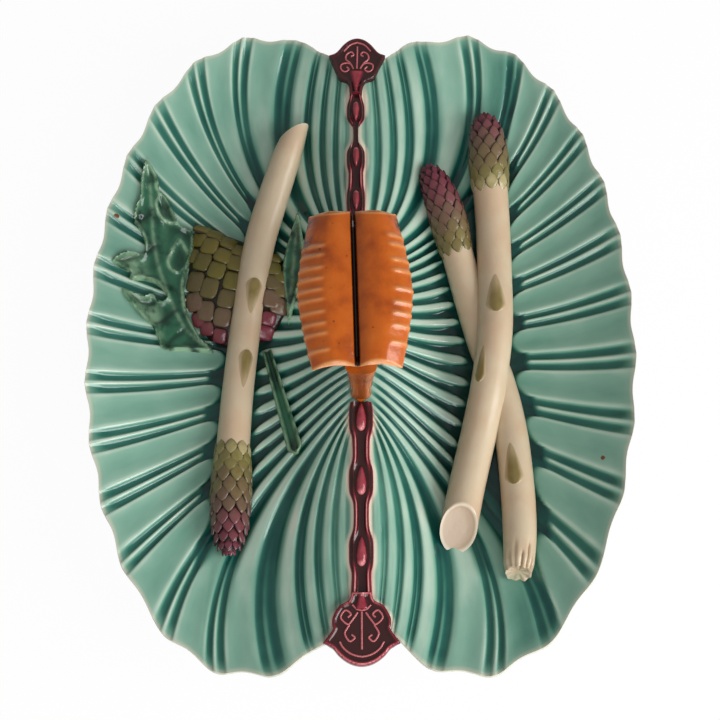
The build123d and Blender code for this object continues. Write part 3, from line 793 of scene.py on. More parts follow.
# The legs widen from a waist to the grip, and a little at the foot. Their section is a rounded rectangle
leg_rows = 28
leg_ring = 40
leg_sink = 0.0015
leg_waist = 0.60
leg_flare = 1.6
leg_foot, leg_foot_to = 0.10, 0.2
leg_foot_depth = 0.85
leg_corner = 0.75
# The legs are paler in the middle of each face, and carry painted shade on their front and back faces and,
# with pooled glaze, at the foot
leg_face_pale, leg_face_pale_power = 0.35, 8
leg_pool, leg_pool_spread = 0.6, 0.35
leg_foot_pool, leg_foot_pool_to = 0.3, (0.02, 0.2)


def full_turn(count):
    """So many angles evenly once round."""
    return np.linspace(0, 2 * pi, count, endpoint=False)


def squared(part):
    """Sine or cosine of a turn, drawn out towards the corners of a leg."""
    return np.sign(part) * np.abs(part) ** leg_corner


turn = full_turn(leg_ring)
for name in ("front_leg", "back_leg"):
    low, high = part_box(name)
    middle_x, middle_y = (low.x + high.x) / 2, (low.y + high.y) / 2
    half_x, half_y = (high.x - low.x) / 2, (high.y - low.y) / 2
    points, wear, pool = [], [], []
    for share in np.linspace(0, 1, leg_rows):
        spread = leg_waist + (1 - leg_waist) * share**leg_flare + leg_foot * (1 - fade(share, 0, leg_foot_to))
        x = middle_x + half_x * spread * squared(np.cos(turn))
        y = middle_y + half_y * (leg_foot_depth + (1 - leg_foot_depth) * share) * squared(np.sin(turn))
        z = np.full(leg_ring, low.z - leg_sink + (high.z - low.z + 2 * leg_sink) * share)
        points.append(np.stack([x, y, z], -1))
        wear.append(leg_face_pale * np.abs(np.cos(2 * turn)) ** leg_face_pale_power)
        # Painted shade on the front and back faces, and pooled glaze with painted shade at the foot
        at_foot = leg_foot_pool * (1 - fade(share, *leg_foot_pool_to))
        pool.append(leg_pool * bell(np.cos(turn), leg_pool_spread) + at_foot)
    leg = make_piece(
        name + "_post", points, tube_faces(leg_rows, leg_ring), wear=wear, pool=pool,
        burnt=np.zeros(leg_rows * leg_ring),
    )
    leg.data.materials.append(handle_glaze)
    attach(leg, "root")
    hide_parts(name)
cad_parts["plinth"].data.materials.clear()
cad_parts["plinth"].data.materials.append(handle_glaze)

# Centre band: a beaded strip on the ridge between the dishes, a channel between two raised edges, with
# a drop on each bead. Crimson glaze, nearly black where it pools and pink where it thins on the edges.
band_rows = 260
band_bottom = rim_height
crimson_dark = tint(54, 22, 22)
crimson_mid = tint(128, 26, 44)
crimson_pink = tint(190, 104, 108)
crimson_pale = tint(226, 184, 172)


def clouded(tree, value, size, strength):
    """Value with clouds about so large on it, as far up as down."""
    value = calc(tree, "SUBTRACT", value, strength / 2)
    return calc(tree, "MULTIPLY_ADD", mottle(tree, size), strength, value)


def crimson_glaze(name):
    """Crimson from dark in the hollows to pink on the raised lines."""
    material, tree, shader = new_glaze(name, roughness=0.14)
    raised = clouded(tree, read(tree, "raised"), size=0.003, strength=0.16)
    red = ramp(
        tree, raised, (0.14, crimson_dark), (0.42, crimson_mid), (0.78, crimson_pink), (1.0, crimson_pale)
    )
    end_glaze(tree, shader, red, wave_size=0.003, wave_depth=0.0001)
    return material


band_glaze = crimson_glaze("band_glaze")
# Across half the band: share of its half width, height over the ridge, and how thin the glaze is
band_section = [
    (0.0, 0.0010, 0.12), (0.25, 0.0010, 0.10), (0.42, 0.0013, 0.06), (0.52, 0.0022, 0.35),
    (0.60, 0.0030, 0.75), (0.66, 0.0031, 0.95), (0.73, 0.0026, 0.6), (0.80, 0.0014, 0.2),
    (0.88, 0.0013, 0.3), (0.95, 0.0012, 0.5), (1.0, 0.0004, 0.7), (1.0, -0.0030, 0.7),
]
section = np.array([(-x, z, thin) for x, z, thin in reversed(band_section[1:])] + band_section)
# On the beads and the thinnest necks the channel is plain: its raised edges are lower and darker
plain_neck = (0.0022, 0.0034)
plain_drop = 0.0014
plain_dulled = 0.8
for name, beads, bead_size, necks, end in (
    ("upper_band", upper_beads, upper_bead_size, upper_necks, upper_band_end),
    ("lower_band", lower_beads, lower_bead_size, lower_necks, lower_band_end),
):
    y = np.linspace(np.sign(end) * hinge_half_length, end, band_rows)
    width = band_half_width(y, beads, bead_size, necks)
    plain = np.maximum(bead_share(y, beads, bead_size), 1 - fade(width, *plain_neck))[:, None]
    off_middle = np.abs(section[:, 0])
    x = width[:, None] * section[None, :, 0]
    z = band_bottom + section[:, 1] - plain_drop * plain * fade(off_middle, 0.4, 0.6)
    points = np.stack([x + lean(0, y)[:, None], np.broadcast_to(y[:, None], x.shape), z], -1)
    raised = section[:, 2] * (1 - plain_dulled * plain * (off_middle < 0.9))
    band = make_piece(name + "_strip", points, tube_faces(band_rows, len(section)), raised=raised)
    band.data.materials.append(band_glaze)
    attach(band, "root")
    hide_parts(name)

# The drops on the beads are thick and pale at the end away from the handle
boss_glaze = crimson_glaze("boss_glaze")
upper_boss_size = (0.0019, 0.0062)
lower_boss_size = (0.0026, 0.0078)
boss_rise = 0.0030
boss_base = 0.001
boss_narrowing = 0.35
boss_end_from, boss_end_up = (0.62, 0.8), (-0.2, 0.3)
boss_raised, boss_top_raised, boss_end_raised = 0.42, 0.10, 0.34
boss_rings, boss_turns = 14, 28
turn = full_turn(boss_turns)
for name, beads, boss_size, thick_end in (
    ("upper_boss", upper_beads, upper_boss_size, 1),
    ("lower_boss", lower_beads, lower_boss_size, -1),
):
    for number, bead in enumerate(beads, start=1):
        points, raised = [], []
        for tilt in np.linspace(-0.5 * pi, 0.5 * pi, boss_rings + 2)[1:-1]:
            narrow = 1 + boss_narrowing * thick_end * np.sin(turn)
            x = boss_size[0] * np.cos(tilt) * np.cos(turn) * narrow
            y = boss_size[1] * np.cos(tilt) * np.sin(turn)
            z = np.full(boss_turns, band_bottom + boss_base + boss_rise * np.sin(tilt))
            pale_end = fade(thick_end * np.sin(turn) * np.cos(tilt), *boss_end_from)
            pale_end = pale_end * fade(tilt, *boss_end_up)
            points.append(np.stack([x + lean(0, bead), bead + y, z], -1))
            raised.append(boss_raised + boss_top_raised * np.sin(tilt) + boss_end_raised * pale_end)
        boss = make_piece(f"{name}_{number}_drop", points, tube_faces(boss_rings, boss_turns), raised=raised)
        boss.data.materials.append(boss_glaze)
        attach(boss, "root")
        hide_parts(f"{name}_{number}")

# Palmettes: flat end plates over the meeting rims, each with a tongue that fills the notch between
# them, a raised edge, and a drop where the band runs in. Pressed clay under the same crimson glaze.
palmette_top = rim_height + 0.0036
palmette_field_drop = 0.0009
palmette_edge = 0.0012
palmette_round = 0.0007
palmette_sink = 0.0012
drop_rise = 0.0016
drop_point = 0.0006
tongue_from = (0.998, 1.01)
edge_line_at, edge_line_spread = 0.0007, 0.0006
field_raised, drop_raised = 0.10, 0.38
# Along the sides of a plate, between these distances from the handle, its raised edge is fainter
faint_side_from, faint_side_to, faint_side = (0.147, 0.150), (0.166, 0.172), 0.6


def edge_distance(x, y, outline):
    """Distance of each point from a closed outline."""
    start = np.asarray(outline)
    run = np.roll(start, -1, axis=0) - start
    length = np.maximum((run**2).sum(1), 1e-15)
    away_x = x[:, None] - start[None, :, 0]
    away_y = y[:, None] - start[None, :, 1]
    share = np.clip((away_x * run[:, 0] + away_y * run[:, 1]) / length, 0, 1)
    return np.hypot(away_x - share * run[:, 0], away_y - share * run[:, 1]).min(1)


def draped(name, outline, spacing, top, bottom, **values):
    """Closed relief on an outline. Its top, bottom and attributes are rules of x, y and the distance to
    the edge."""
    outline = np.asarray(outline)
    low, high = outline.min(0), outline.max(0)
    row_step = spacing * 0.87
    grid_x, grid_y = np.meshgrid(np.arange(low[0], high[0], spacing), np.arange(low[1], high[1], row_step))
    grid_x[1::2] += spacing / 2
    inner = np.stack([grid_x.ravel(), grid_y.ravel()], -1)
    inner = inner[edge_distance(inner[:, 0], inner[:, 1], outline) > spacing * 0.45]
    flat = [Vector(p) for p in np.concatenate([outline, inner]).tolist()]
    flat, _, faces, *_ = delaunay_2d_cdt(flat, [], [list(range(len(outline)))], 1, 1e-7)
    used = sorted({corner for face in faces for corner in face})
    place = {corner: number for number, corner in enumerate(used)}
    faces = [[place[corner] for corner in face] for face in faces]
    plan = np.array([flat[corner] for corner in used])
    x, y = plan[:, 0], plan[:, 1]
    edge = edge_distance(x, y, outline)
    count = len(used)
    sides = dict.fromkeys(side for face in faces for side in zip(face, face[1:] + face[:1]))
    walls = [(a, b, b + count, a + count) for a, b in sides if (b, a) not in sides]
    solid_faces = faces + [[corner + count for corner in reversed(face)] for face in faces] + walls
    upper_points = np.stack([x, y, top(x, y, edge)], -1)
    lower_points = np.stack([x, y, np.minimum(bottom(x, y), upper_points[:, 2] - 0.0002)], -1)
    attributes = {key: np.tile(rule(x, y, edge), 2) for key, rule in values.items()}
    return make_piece(name, np.concatenate([upper_points, lower_points]), solid_faces, **attributes)


def round_over(edge, radius):
    """How far a rounded edge lies under its top, as a share of its radius."""
    return 1 - np.sqrt(1 - (1 - np.clip(edge / radius, 0, 1)) ** 2)


def palmette_bottom(x, y):
    """Sunk into the rims, and a tongue down the notch between them."""
    tongue = (wall_at_rim - palmette_sink) * fade(rim_share(x, y), *tongue_from)
    return rim_height - palmette_sink - tongue


# Each plate as its name, the two parts of its outline, where its drop is widest and where it ends in y, the
# drop's half width, and how strongly its edge line shows
for name, foot, head, drop_from, drop_to, drop_half_width, line_strength in (
    ("upper_palmette", upper_foot, upper_head, 0.1590, 0.1445, 0.0044, 0.22),
    ("lower_palmette", lower_foot, lower_head, -0.1508, -0.1380, 0.0034, 0.80),
):
    whole_head = smooth_curve(head + [(-x, y) for x, y in head[-2::-1]], 61)
    half = np.concatenate([smooth_curve(foot, 40), whole_head[1:31]])
    outline = np.concatenate([half, half[::-1][1:] * (-1, 1)])
    outline[:, 0] += lean(0, outline[:, 1])

    def drop_share(x, y):
        """1 along the drop that runs in from the band."""
        along = np.clip((y - drop_to) / (drop_from - drop_to), 0, 1)
        off = np.abs(x - lean(0, y))
        width = drop_point + drop_half_width * along**1.3
        return fade(1 - off / width, 0, 0.5) * (1 - fade(along, 0.985, 1.0))

    def plate_top(x, y, edge):
        """Flat field inside a raised, rounded edge."""
        rounded = round_over(edge, palmette_round)
        field = palmette_field_drop * fade(edge, palmette_edge, 2 * palmette_edge)
        return palmette_top - palmette_round * rounded - field + drop_rise * drop_share(x, y)

    def plate_raised(x, y, edge):
        """Thin glaze on the raised edge and the drop."""
        along_side = fade(np.abs(y), *faint_side_from) * (1 - fade(np.abs(y), *faint_side_to))
        line = line_strength * (1 - faint_side * along_side) * bell(edge - edge_line_at, edge_line_spread)
        return field_raised + np.maximum(line, drop_raised * drop_share(x, y))

    palmette = draped(name + "_plate", outline, 0.0008, plate_top, palmette_bottom, raised=plate_raised)
    palmette.data.materials.append(band_glaze)
    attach(palmette, "root")
    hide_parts(name)

# Scrolls: thin raised lines of slip on the palmettes, a stem and a pair of S-scrolls with volutes,
# with a collar and a border line. Pink, because the glaze runs off them.
cord_radius = 0.00050
cord_sides = 10
cord_raised = 0.72
tree, given = new_tree("raised_cord", cord_radius="Float", glaze="Material")
line = add(tree, "GeometryNodeMeshToCurve", {"Mesh": given.outputs[0]}).outputs[0]
round_line = {"Resolution": cord_sides, "Radius": given.outputs["cord_radius"]}
circle = add(tree, "GeometryNodeCurvePrimitiveCircle", round_line).outputs[0]
tube = {"Curve": line, "Profile Curve": circle, "Fill Caps": True}
swept = add(tree, "GeometryNodeCurveToMesh", tube).outputs[0]
smooth = add(tree, "GeometryNodeSetShadeSmooth", {"Geometry": swept}).outputs[0]
thin_glaze = {"Geometry": smooth, "Name": "raised", "Value": cord_raised}
kept = add(tree, "GeometryNodeStoreNamedAttribute", thin_glaze).outputs[0]
end_tree(tree, kept, given.outputs["glaze"])
raised_cord = tree

upper_lines = [
    [
        (-0.0019, 0.1606), (-0.004, 0.1645), (-0.0065, 0.1669), (-0.0061, 0.1701), (-0.0035, 0.1717),
        (-0.0021, 0.1699), (-0.0036, 0.1688),
    ],
    [
        (-0.0034, 0.1638), (-0.0061, 0.1645), (-0.0090, 0.1634), (-0.0091, 0.1604), (-0.0068, 0.1588),
        (-0.0046, 0.1602), (-0.0058, 0.1619),
    ],
    [(-0.0078, 0.1722), (-0.0042, 0.1763), (0.0, 0.1780)],
]
lower_lines = [
    [(-0.0047, -0.1486), (-0.0026, -0.1506), (0.0, -0.1515)],
    [
        (-0.0021, -0.1525), (-0.0050, -0.1565), (-0.0072, -0.1584), (-0.0107, -0.1550),
        (-0.0084, -0.1513), (-0.0056, -0.1532), (-0.0071, -0.1550),
    ],
    [(-0.0064, -0.1588), (-0.0086, -0.1630), (-0.0062, -0.1669), (-0.0036, -0.1652), (-0.0052, -0.1636)],
    [(-0.0112, -0.1672), (-0.0094, -0.1702), (-0.0064, -0.1727), (-0.0030, -0.1741), (0.0, -0.1746)],
]
cord_height = palmette_top - palmette_field_drop + cord_radius * 0.3
for name, lines, stem in (
    ("upper_scrolls", upper_lines, [(0.0, 0.1606), (0.0, 0.1752)]),
    ("lower_scrolls", lower_lines, [(0.0, -0.1521), (0.0, -0.1710)]),
):
    strokes = [smooth_curve(line, 40) for line in lines]
    strokes += [stroke * (-1, 1) for stroke in strokes]
    strokes.append(smooth_curve(stem, 12))
    points, edges = [], []
    for stroke in strokes:
        edges += [(len(points) + i, len(points) + i + 1) for i in range(len(stroke) - 1)]
        points += [(x + float(lean(0, y)), y, cord_height) for x, y in stroke.tolist()]
    mesh = bpy.data.meshes.new(name + "_lines")
    mesh.from_pydata(points, edges, [])
    scrolls = place_object(name + "_lines", mesh)
    run_tree(scrolls, raised_cord, cord_radius=cord_radius, glaze=boss_glaze)
    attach(scrolls, "root")
    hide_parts(name)

# Asparagus stalks: round spears pressed on to the dish, cream glaze with green bled in along their foot.
# The front spear ends in an oblique cut, the back one is frayed, and the left one is cut to a point.
# Stops along a spear are x, y, height of its axis over the dish, and radius.
left_stalk_stops = [
    (-0.0385, 0.1235, 0.005, 0.0070), (-0.0420, 0.112, 0.006, 0.0082), (-0.0495, 0.088, 0.007, 0.0088),
    (-0.0568, 0.062, 0.008, 0.0088), (-0.0615, 0.034, 0.009, 0.0086), (-0.0650, 0.005, 0.007, 0.0086),
    (-0.0682, -0.028, 0.005, 0.0088), (-0.070, -0.062, 0.005, 0.0092),
]
front_stalk_stops = [
    (0.0515, -0.1065, 0.008, 0.0098), (0.057, -0.082, 0.008, 0.0098), (0.065, -0.050, 0.009, 0.0098),
    (0.071, -0.022, 0.012, 0.0098), (0.075, 0.008, 0.013, 0.0098), (0.076, 0.040, 0.009, 0.0098),
    (0.076, 0.068, 0.007, 0.0098), (0.075, 0.094, 0.007, 0.0100),
]
back_stalk_stops = [
    (0.082, -0.131, 0.005, 0.0078), (0.084, -0.108, 0.005, 0.0090), (0.084, -0.080, 0.005, 0.0092),
    (0.082, -0.050, 0.004, 0.0092), (0.077, -0.022, 0.003, 0.0090), (0.069, 0.002, 0.003, 0.0090),
    (0.062, 0.028, 0.004, 0.0090), (0.0546, 0.058, 0.005, 0.0090),
]
stalk_rows = 150
stalk_ring = 56
seat_depth = 0.0030
green_edge = (0.0015, 0.0085)
cut_run = 0.034
# The cut face as rings from its middle to its rim: share of the way out, and how far it is sunk
cut_rings = ((0.3, 0.0010), (0.72, 0.0008), (0.83, 0.0004), (0.93, 0.0))
# The frayed end's slits, in degrees round the stalk, and the pinch at its tip
slit_turns = (42, 68, 95, 121, 146)
slit_spread = 3.5
slit_length, slit_uneven = 0.014, 0.004
slit_depth = 0.0012
fray_pinch, fray_pinch_to = 0.0010, 0.006
fray_wave, fray_notch = 0.0005, 0.0008


class Spear:
    """A round bar that follows the dish: its centres, frames and radii."""

    def __init__(self, stops, rows):
        x, y, lift, self.radius = smooth_curve(stops, rows).T
        self.centre = np.stack([x, y, bed_height(x, y) + lift], -1)
        self.heading = np.gradient(self.centre, axis=0)
        self.heading /= np.linalg.norm(self.heading, axis=1)[:, None]
        self.across = np.cross((0, 0, 1), self.heading)
        self.across /= np.linalg.norm(self.across, axis=1)[:, None]
        self.up = np.cross(self.heading, self.across)
        steps = np.linalg.norm(np.diff(self.centre, axis=0), axis=1)
        self.run = np.concatenate([[0], np.cumsum(steps)])

    def skin(self, turn, lift=0.0):
        """Points round the bar at each row, at turns in radians from across to up."""
        out = np.cos(turn)[..., None] * self.across[:, None] + np.sin(turn)[..., None] * self.up[:, None]
        return self.centre[:, None] + (self.radius[:, None, None] + np.asarray(lift)[..., None]) * out

    def at(self, run):
        """Row, as a fraction, at a length along the bar."""
        return np.interp(run, self.run, np.arange(len(self.run)))

    def between(self, values, row):
        """Vectors of the bar at rows that may be fractions."""
        return np.stack([np.interp(row, np.arange(len(values)), part) for part in values.T], -1)


def seated(points):
    """Pressed flat where it meets the dish."""
    floor = bed_height(points[..., 0], points[..., 1]) - seat_depth
    pressed = points.copy()
    pressed[..., 2] = np.maximum(points[..., 2], floor)
    return pressed


cream_full = tint(196, 178, 150)
cream_warm = tint(192, 166, 137)
cream_green = tint(128, 146, 118)
cream_cut = tint(176, 152, 128)
cream_rim = tint(206, 190, 168)
fray_dark = tint(150, 122, 90)
stalk_glaze, tree, shader = new_glaze("stalk_glaze", roughness=0.3)
cream = dye(tree, step_up(tree, mottle(tree, 0.022), 0.35, 0.7), cream_full, cream_warm)
low_edge = times(tree, read(tree, "low"), step_up(tree, mottle(tree, 0.016), 0.30, 0.62))
cream = dye(tree, times(tree, low_edge, 0.8), cream, cream_green)
cream = dye(tree, read(tree, "cut"), cream, cream_cut)
cream = dye(tree, read(tree, "cut_rim"), cream, cream_rim)
cream = dye(tree, read(tree, "slit"), cream, fray_dark)
end_glaze(tree, shader, cream, wave_size=0.009, wave_depth=0.0003)

turn = full_turn(stalk_ring)[None, :]
spears = {}
# Each stalk as its stops, how far its cut leans along it, the turn that it leans to, and how bare it is
for name, stops, cut_reach, cut_turn, cut_bare in (
    ("left", left_stalk_stops, -0.0075, 20, 1.0),
    ("front", front_stalk_stops, 0.0105, 90, 1.0),
    ("back", back_stalk_stops, 0.0015, 90, 0.3),
):
    spear = Spear(stops, stalk_rows)
    spears[name] = spear
    from_end = spear.run[:, None]
    reach = cut_reach * np.cos(turn - radians(cut_turn))
    slit = lift = np.zeros((stalk_rows, stalk_ring))
    if name == "back":
        degrees_round = np.degrees(turn)
        gaps = sum(bell(degrees_round - gap, slit_spread) for gap in slit_turns)
        lengths = slit_length + slit_uneven * np.sin(degrees_round / 9)
        slit = np.clip(gaps, 0, 1) * (1 - fade(from_end, lengths * 0.6, lengths))
        lift = -slit_depth * slit - fray_pinch * (1 - fade(from_end, 0.0, fray_pinch_to))
        reach = reach + fray_wave * np.sin(degrees_round / 6.5) + fray_notch * np.clip(gaps, 0, 1)
    points = spear.skin(np.broadcast_to(turn, slit.shape), lift)
    slide = reach * np.clip(1 - from_end / cut_run, 0, 1)
    points = points + slide[..., None] * spear.heading[:, None]
    rim, middle = points[0], points[0].mean(0)
    face_rings = [middle + (rim - middle) * size + spear.heading[0] * sunk for size, sunk in cut_rings]
    points = seated(np.concatenate([face_rings, points]))
    height = points[..., 2] - bed_height(points[..., 0], points[..., 1])
    extra = len(face_rings)
    rows = stalk_rows + extra
    cut, cut_rim = np.zeros((2, rows, stalk_ring))
    cut[:extra - 1] = cut_bare
    cut_rim[extra - 1:extra + 1] = 0.8 * cut_bare
    slit = np.concatenate([np.broadcast_to(slit[:1], (extra, stalk_ring)), slit])
    stalk = make_piece(
        name + "_spear_stalk_bar", points, tube_faces(rows, stalk_ring), low=1 - fade(height, *green_edge),
        cut=cut, cut_rim=cut_rim, slit=slit,
    )
    stalk.data.materials.append(stalk_glaze)
    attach(stalk, "root")
    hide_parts(name + "_spear_stalk")

# Bracts on the stalks: thin leaf-shaped scales laid on the spear, round below and pointed towards the
# bud, under an olive glaze that is darker along the middle.
bract_rows = 26
bract_columns = 17
bract_thickness = 0.0005
bract_sink = 0.0006
bract_ridge, bract_ridge_spread = 0.2, 0.3
bract_point = 0.62
bract_foot = 0.20
thin_side, thin_side_from = 0.75, 0.45
thin_tip, thin_tip_from = 0.55, 0.35
olive_full = tint(142, 124, 76)
olive_dark = tint(104, 90, 46)
olive_thin = tint(196, 174, 142)
bract_glaze, tree, shader = new_glaze("bract_glaze", roughness=0.22)
olive = dye(tree, mottle(tree, 0.006), olive_full, olive_dark)
olive = dye(tree, read(tree, "edge"), olive, olive_thin)
end_glaze(tree, shader, olive, wave_size=0.003, wave_depth=0.0002)
# Each bract as its spear's name, its number, where its middle lies in y, its length and width, and its turn
# round the stalk in degrees
bracts = [
    ("left", 1, 0.026, 0.020, 0.0115, 72), ("left", 2, -0.016, 0.022, 0.0100, 66),
    ("front", 1, 0.024, 0.023, 0.0135, 86), ("front", 2, -0.017, 0.021, 0.0080, 52),
    ("back", 1, -0.073, 0.024, 0.0125, 74),
]
share = np.linspace(0.0, 1.0, bract_rows)
column = np.linspace(-1, 1, bract_columns)
tapered = np.clip(1 - share, 0.004, 1) ** bract_point
rounded_foot = np.clip(share / bract_foot + 0.06, 0, 1) ** 0.5
side_edge = thin_side * fade(np.abs(column), thin_side_from, 1.0)
side_edge = np.concatenate([side_edge, side_edge[::-1]])[None, :]
edge = np.maximum(side_edge, thin_tip * fade(share, thin_tip_from, 1.0)[:, None])
ridge = bract_ridge * bell(column, bract_ridge_spread)
puff = bract_thickness * (np.sqrt(1 - 0.98 * column**2) + ridge)[None, :] * (1 - share**3)[:, None]
for name, number, middle_y, length, width, bract_turn in bracts:
    spear = spears[name]
    middle_run = spear.run[np.abs(spear.centre[:, 1] - middle_y).argmin()]
    half = width / 2 * tapered * rounded_foot
    row = spear.at(middle_run + (share - 0.5) * length)
    centre = spear.between(spear.centre, row)[:, None]
    radius = np.interp(row, np.arange(stalk_rows), spear.radius)[:, None]
    angle = radians(bract_turn) + half[:, None] * column[None, :] / radius
    out = np.cos(angle)[..., None] * spear.between(spear.across, row)[:, None]
    out = out + np.sin(angle)[..., None] * spear.between(spear.up, row)[:, None]
    outer = centre + (radius + puff)[..., None] * out
    inner = centre + (radius - bract_sink)[..., None] * out
    points = np.concatenate([outer, inner[:, ::-1]], axis=1)
    faces = tube_faces(bract_rows, 2 * bract_columns)
    bract = make_piece(f"{name}_spear_bract_{number}_scale", points, faces, edge=edge)
    bract.data.materials.append(bract_glaze)
    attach(bract, "root")
    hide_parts(f"{name}_spear_bract_{number}")

# Asparagus buds: the spear tips, a plump core set with rows of overlapping scales. Olive scales at the
# stalk turn brown and then crimson at the tip, with dark glaze and painted shade between them.
left_bud_stops = [
    (-0.070, -0.058, 0.005, 0.0090), (-0.070, -0.080, 0.005, 0.0104), (-0.070, -0.098, 0.005, 0.0098),
    (-0.070, -0.110, 0.004, 0.0078), (-0.070, -0.1168, 0.003, 0.0048), (-0.070, -0.1195, 0.002, 0.0018),
]
front_bud_stops = [
    (0.075, 0.090, 0.007, 0.0098), (0.0745, 0.106, 0.007, 0.0108), (0.074, 0.119, 0.006, 0.0098),
    (0.073, 0.129, 0.005, 0.0076), (0.0725, 0.1343, 0.004, 0.0046), (0.0723, 0.1366, 0.003, 0.0018),
]
back_bud_stops = [
    (0.0552, 0.054, 0.005, 0.0088), (0.0515, 0.070, 0.005, 0.0100), (0.0475, 0.084, 0.005, 0.0094),
    (0.0425, 0.097, 0.004, 0.0072), (0.0395, 0.1028, 0.003, 0.0044), (0.0384, 0.1050, 0.002, 0.0018),
]
bud_rows = 60
bud_ring = 40
bud_core_sink = 0.0006
bud_tip_length = 0.0006
scales_round = 9
first_scales_at = 0.0035
scale_row_step = 0.80
scale_size = (1.06, 1.55, 0.72)
scale_sink = 0.0001
scale_turns = 20
scale_tip_rise = 0.05
scale_out, scale_back = 0.97, 0.06
lowest_scale = -0.45
age_scatter = 0.07
tip_bare, tip_bare_from = 0.7, 0.93
# A scale from its foot to its crown: share of its size, and height
scale_profile = ((0.97, -0.16), (1.0, 0.02), (0.90, 0.10), (0.68, 0.15), (0.36, 0.18), (0.06, 0.19))

tree, given = new_tree("overlapping_scales", scale_shape="Object", glaze="Material")
shape = add(tree, "GeometryNodeObjectInfo", {"Object": given.outputs["scale_shape"]}).outputs["Geometry"]
placed = add(
    tree, "GeometryNodeInstanceOnPoints",
    {
        "Points": given.outputs[0], "Instance": shape,
        "Rotation": stored(tree, "facing", "QUATERNION"), "Scale": stored(tree, "size", "FLOAT_VECTOR"),
    },
)
end_tree(tree, placed.outputs[0], given.outputs["glaze"])
overlapping_scales = tree


def scale_shape(name, corner):
    """Unit scale, pillowed, with its tip along Y. A low corner power gives a diamond, a high one a square."""
    turn = full_turn(scale_turns)
    reach = 0.5 / (np.abs(np.cos(turn)) ** corner + np.abs(np.sin(turn)) ** corner) ** (1 / corner)
    points, depth = [], []
    for size, height in scale_profile:
        z = height + scale_tip_rise * np.sin(turn) * size
        points.append(np.stack([reach * size * np.cos(turn), reach * size * np.sin(turn), z], -1))
        # The low parts of a scale, under the next one, take the painted shade colour
        depth.append(np.full(scale_turns, 1 - fade(height, -0.02, 0.13)))
    return make_piece(name, points, tube_faces(len(points), scale_turns), depth=depth)


def set_scales(name, spots, facings, sizes, ages, shape, glaze):
    """One piece of many scales, each placed, turned and sized."""
    mesh = bpy.data.meshes.new(name)
    mesh.from_pydata(np.asarray(spots).tolist(), [], [])
    for key, kind, part, values in (
        ("facing", "QUATERNION", "value", facings),
        ("size", "FLOAT_VECTOR", "vector", sizes),
        ("age", "FLOAT", "value", ages),
    ):
        layer = mesh.attributes.new(key, kind, "POINT")
        layer.data.foreach_set(part, np.asarray(values, np.float32).ravel())
    piece = place_object(name, mesh)
    run_tree(piece, overlapping_scales, scale_shape=shape, glaze=glaze)
    piece.data.shade_smooth()
    return piece


def facing(along, outward):
    """Turn that lays a scale with its tip along one direction and its face outward."""
    outward = Vector(outward).normalized()
    side = Vector(along).cross(outward).normalized()
    tip = outward.cross(side)
    return tuple(Matrix((side, tip, outward)).transposed().to_quaternion())


bud_glaze, tree, shader = new_glaze("bud_glaze", roughness=0.24)
age = clouded(tree, read(tree, "age"), size=0.005, strength=0.24)
scale_colour = ramp(
    tree, age, (0.0, tint(168, 154, 112)), (0.14, tint(122, 114, 64)), (0.32, tint(112, 98, 62)),
    (0.58, tint(106, 82, 66)), (0.76, tint(112, 62, 66)), (1.0, tint(100, 40, 54)),
)
# Painted shade, with dark glaze, under and between the scales
shadow_colour = ramp(tree, age, (0.0, tint(44, 42, 12)), (0.5, tint(34, 24, 16)), (1.0, tint(34, 12, 18)))
scale_colour = dye(tree, read(tree, "depth"), scale_colour, shadow_colour)
end_glaze(tree, shader, scale_colour, wave_size=0.002, wave_depth=0.0002)

scatter = np.random.default_rng(7)
bud_scale = scale_shape("bud_scale_shape", 1.35)
bud_turn = np.broadcast_to(full_turn(bud_ring), (bud_rows, bud_ring))
for name, stops, purple in (
    ("left", left_bud_stops, 0.0), ("front", front_bud_stops, 0.0), ("back", back_bud_stops, 0.16),
):
    bud = Spear(stops, bud_rows)
    points = seated(bud.skin(bud_turn, -bud_core_sink))
    ages = np.broadcast_to((bud.run / bud.run[-1])[:, None], (bud_rows, bud_ring))
    # The core between the scales takes the painted shade colour, except near the bare tip
    bud_core = make_piece(
        name + "_spear_bud_core", points, tube_faces(bud_rows, bud_ring),
        depth=1 - tip_bare * fade(ages, tip_bare_from, 1.0), age=ages + purple,
    )
    bud_core.data.materials.append(bud_glaze)
    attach(bud_core, "root")
    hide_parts(name + "_spear_bud")
    spots, facings, sizes, ages = [], [], [], []
    run, number = first_scales_at, 0
    while run < bud.run[-1] - bud_tip_length:
        row = min(int(round(float(bud.at(run)))), bud_rows - 1)
        girth = 2 * pi * bud.radius[row] / scales_round
        for place in range(scales_round):
            angle = 2 * pi * (place + 0.5 * (number % 2)) / scales_round + pi / 2
            if np.sin(angle) < lowest_scale:
                continue
            out = np.cos(angle) * bud.across[row] + np.sin(angle) * bud.up[row]
            outward = out * scale_out - bud.heading[row] * scale_back
            spots.append(bud.centre[row] + (bud.radius[row] - scale_sink) * out)
            facings.append(facing(bud.heading[row], outward))
            sizes.append([girth * share for share in scale_size])
            ages.append(run / bud.run[-1] + purple + scatter.uniform(-age_scatter, age_scatter))
        run += girth * scale_row_step
        number += 1
    scales = set_scales(name + "_spear_bud_scales", spots, facings, sizes, ages, bud_scale, bud_glaze)
    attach(scales, "root")
    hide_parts(name + "_spear_bud")
bpy.data.objects.remove(bud_scale)

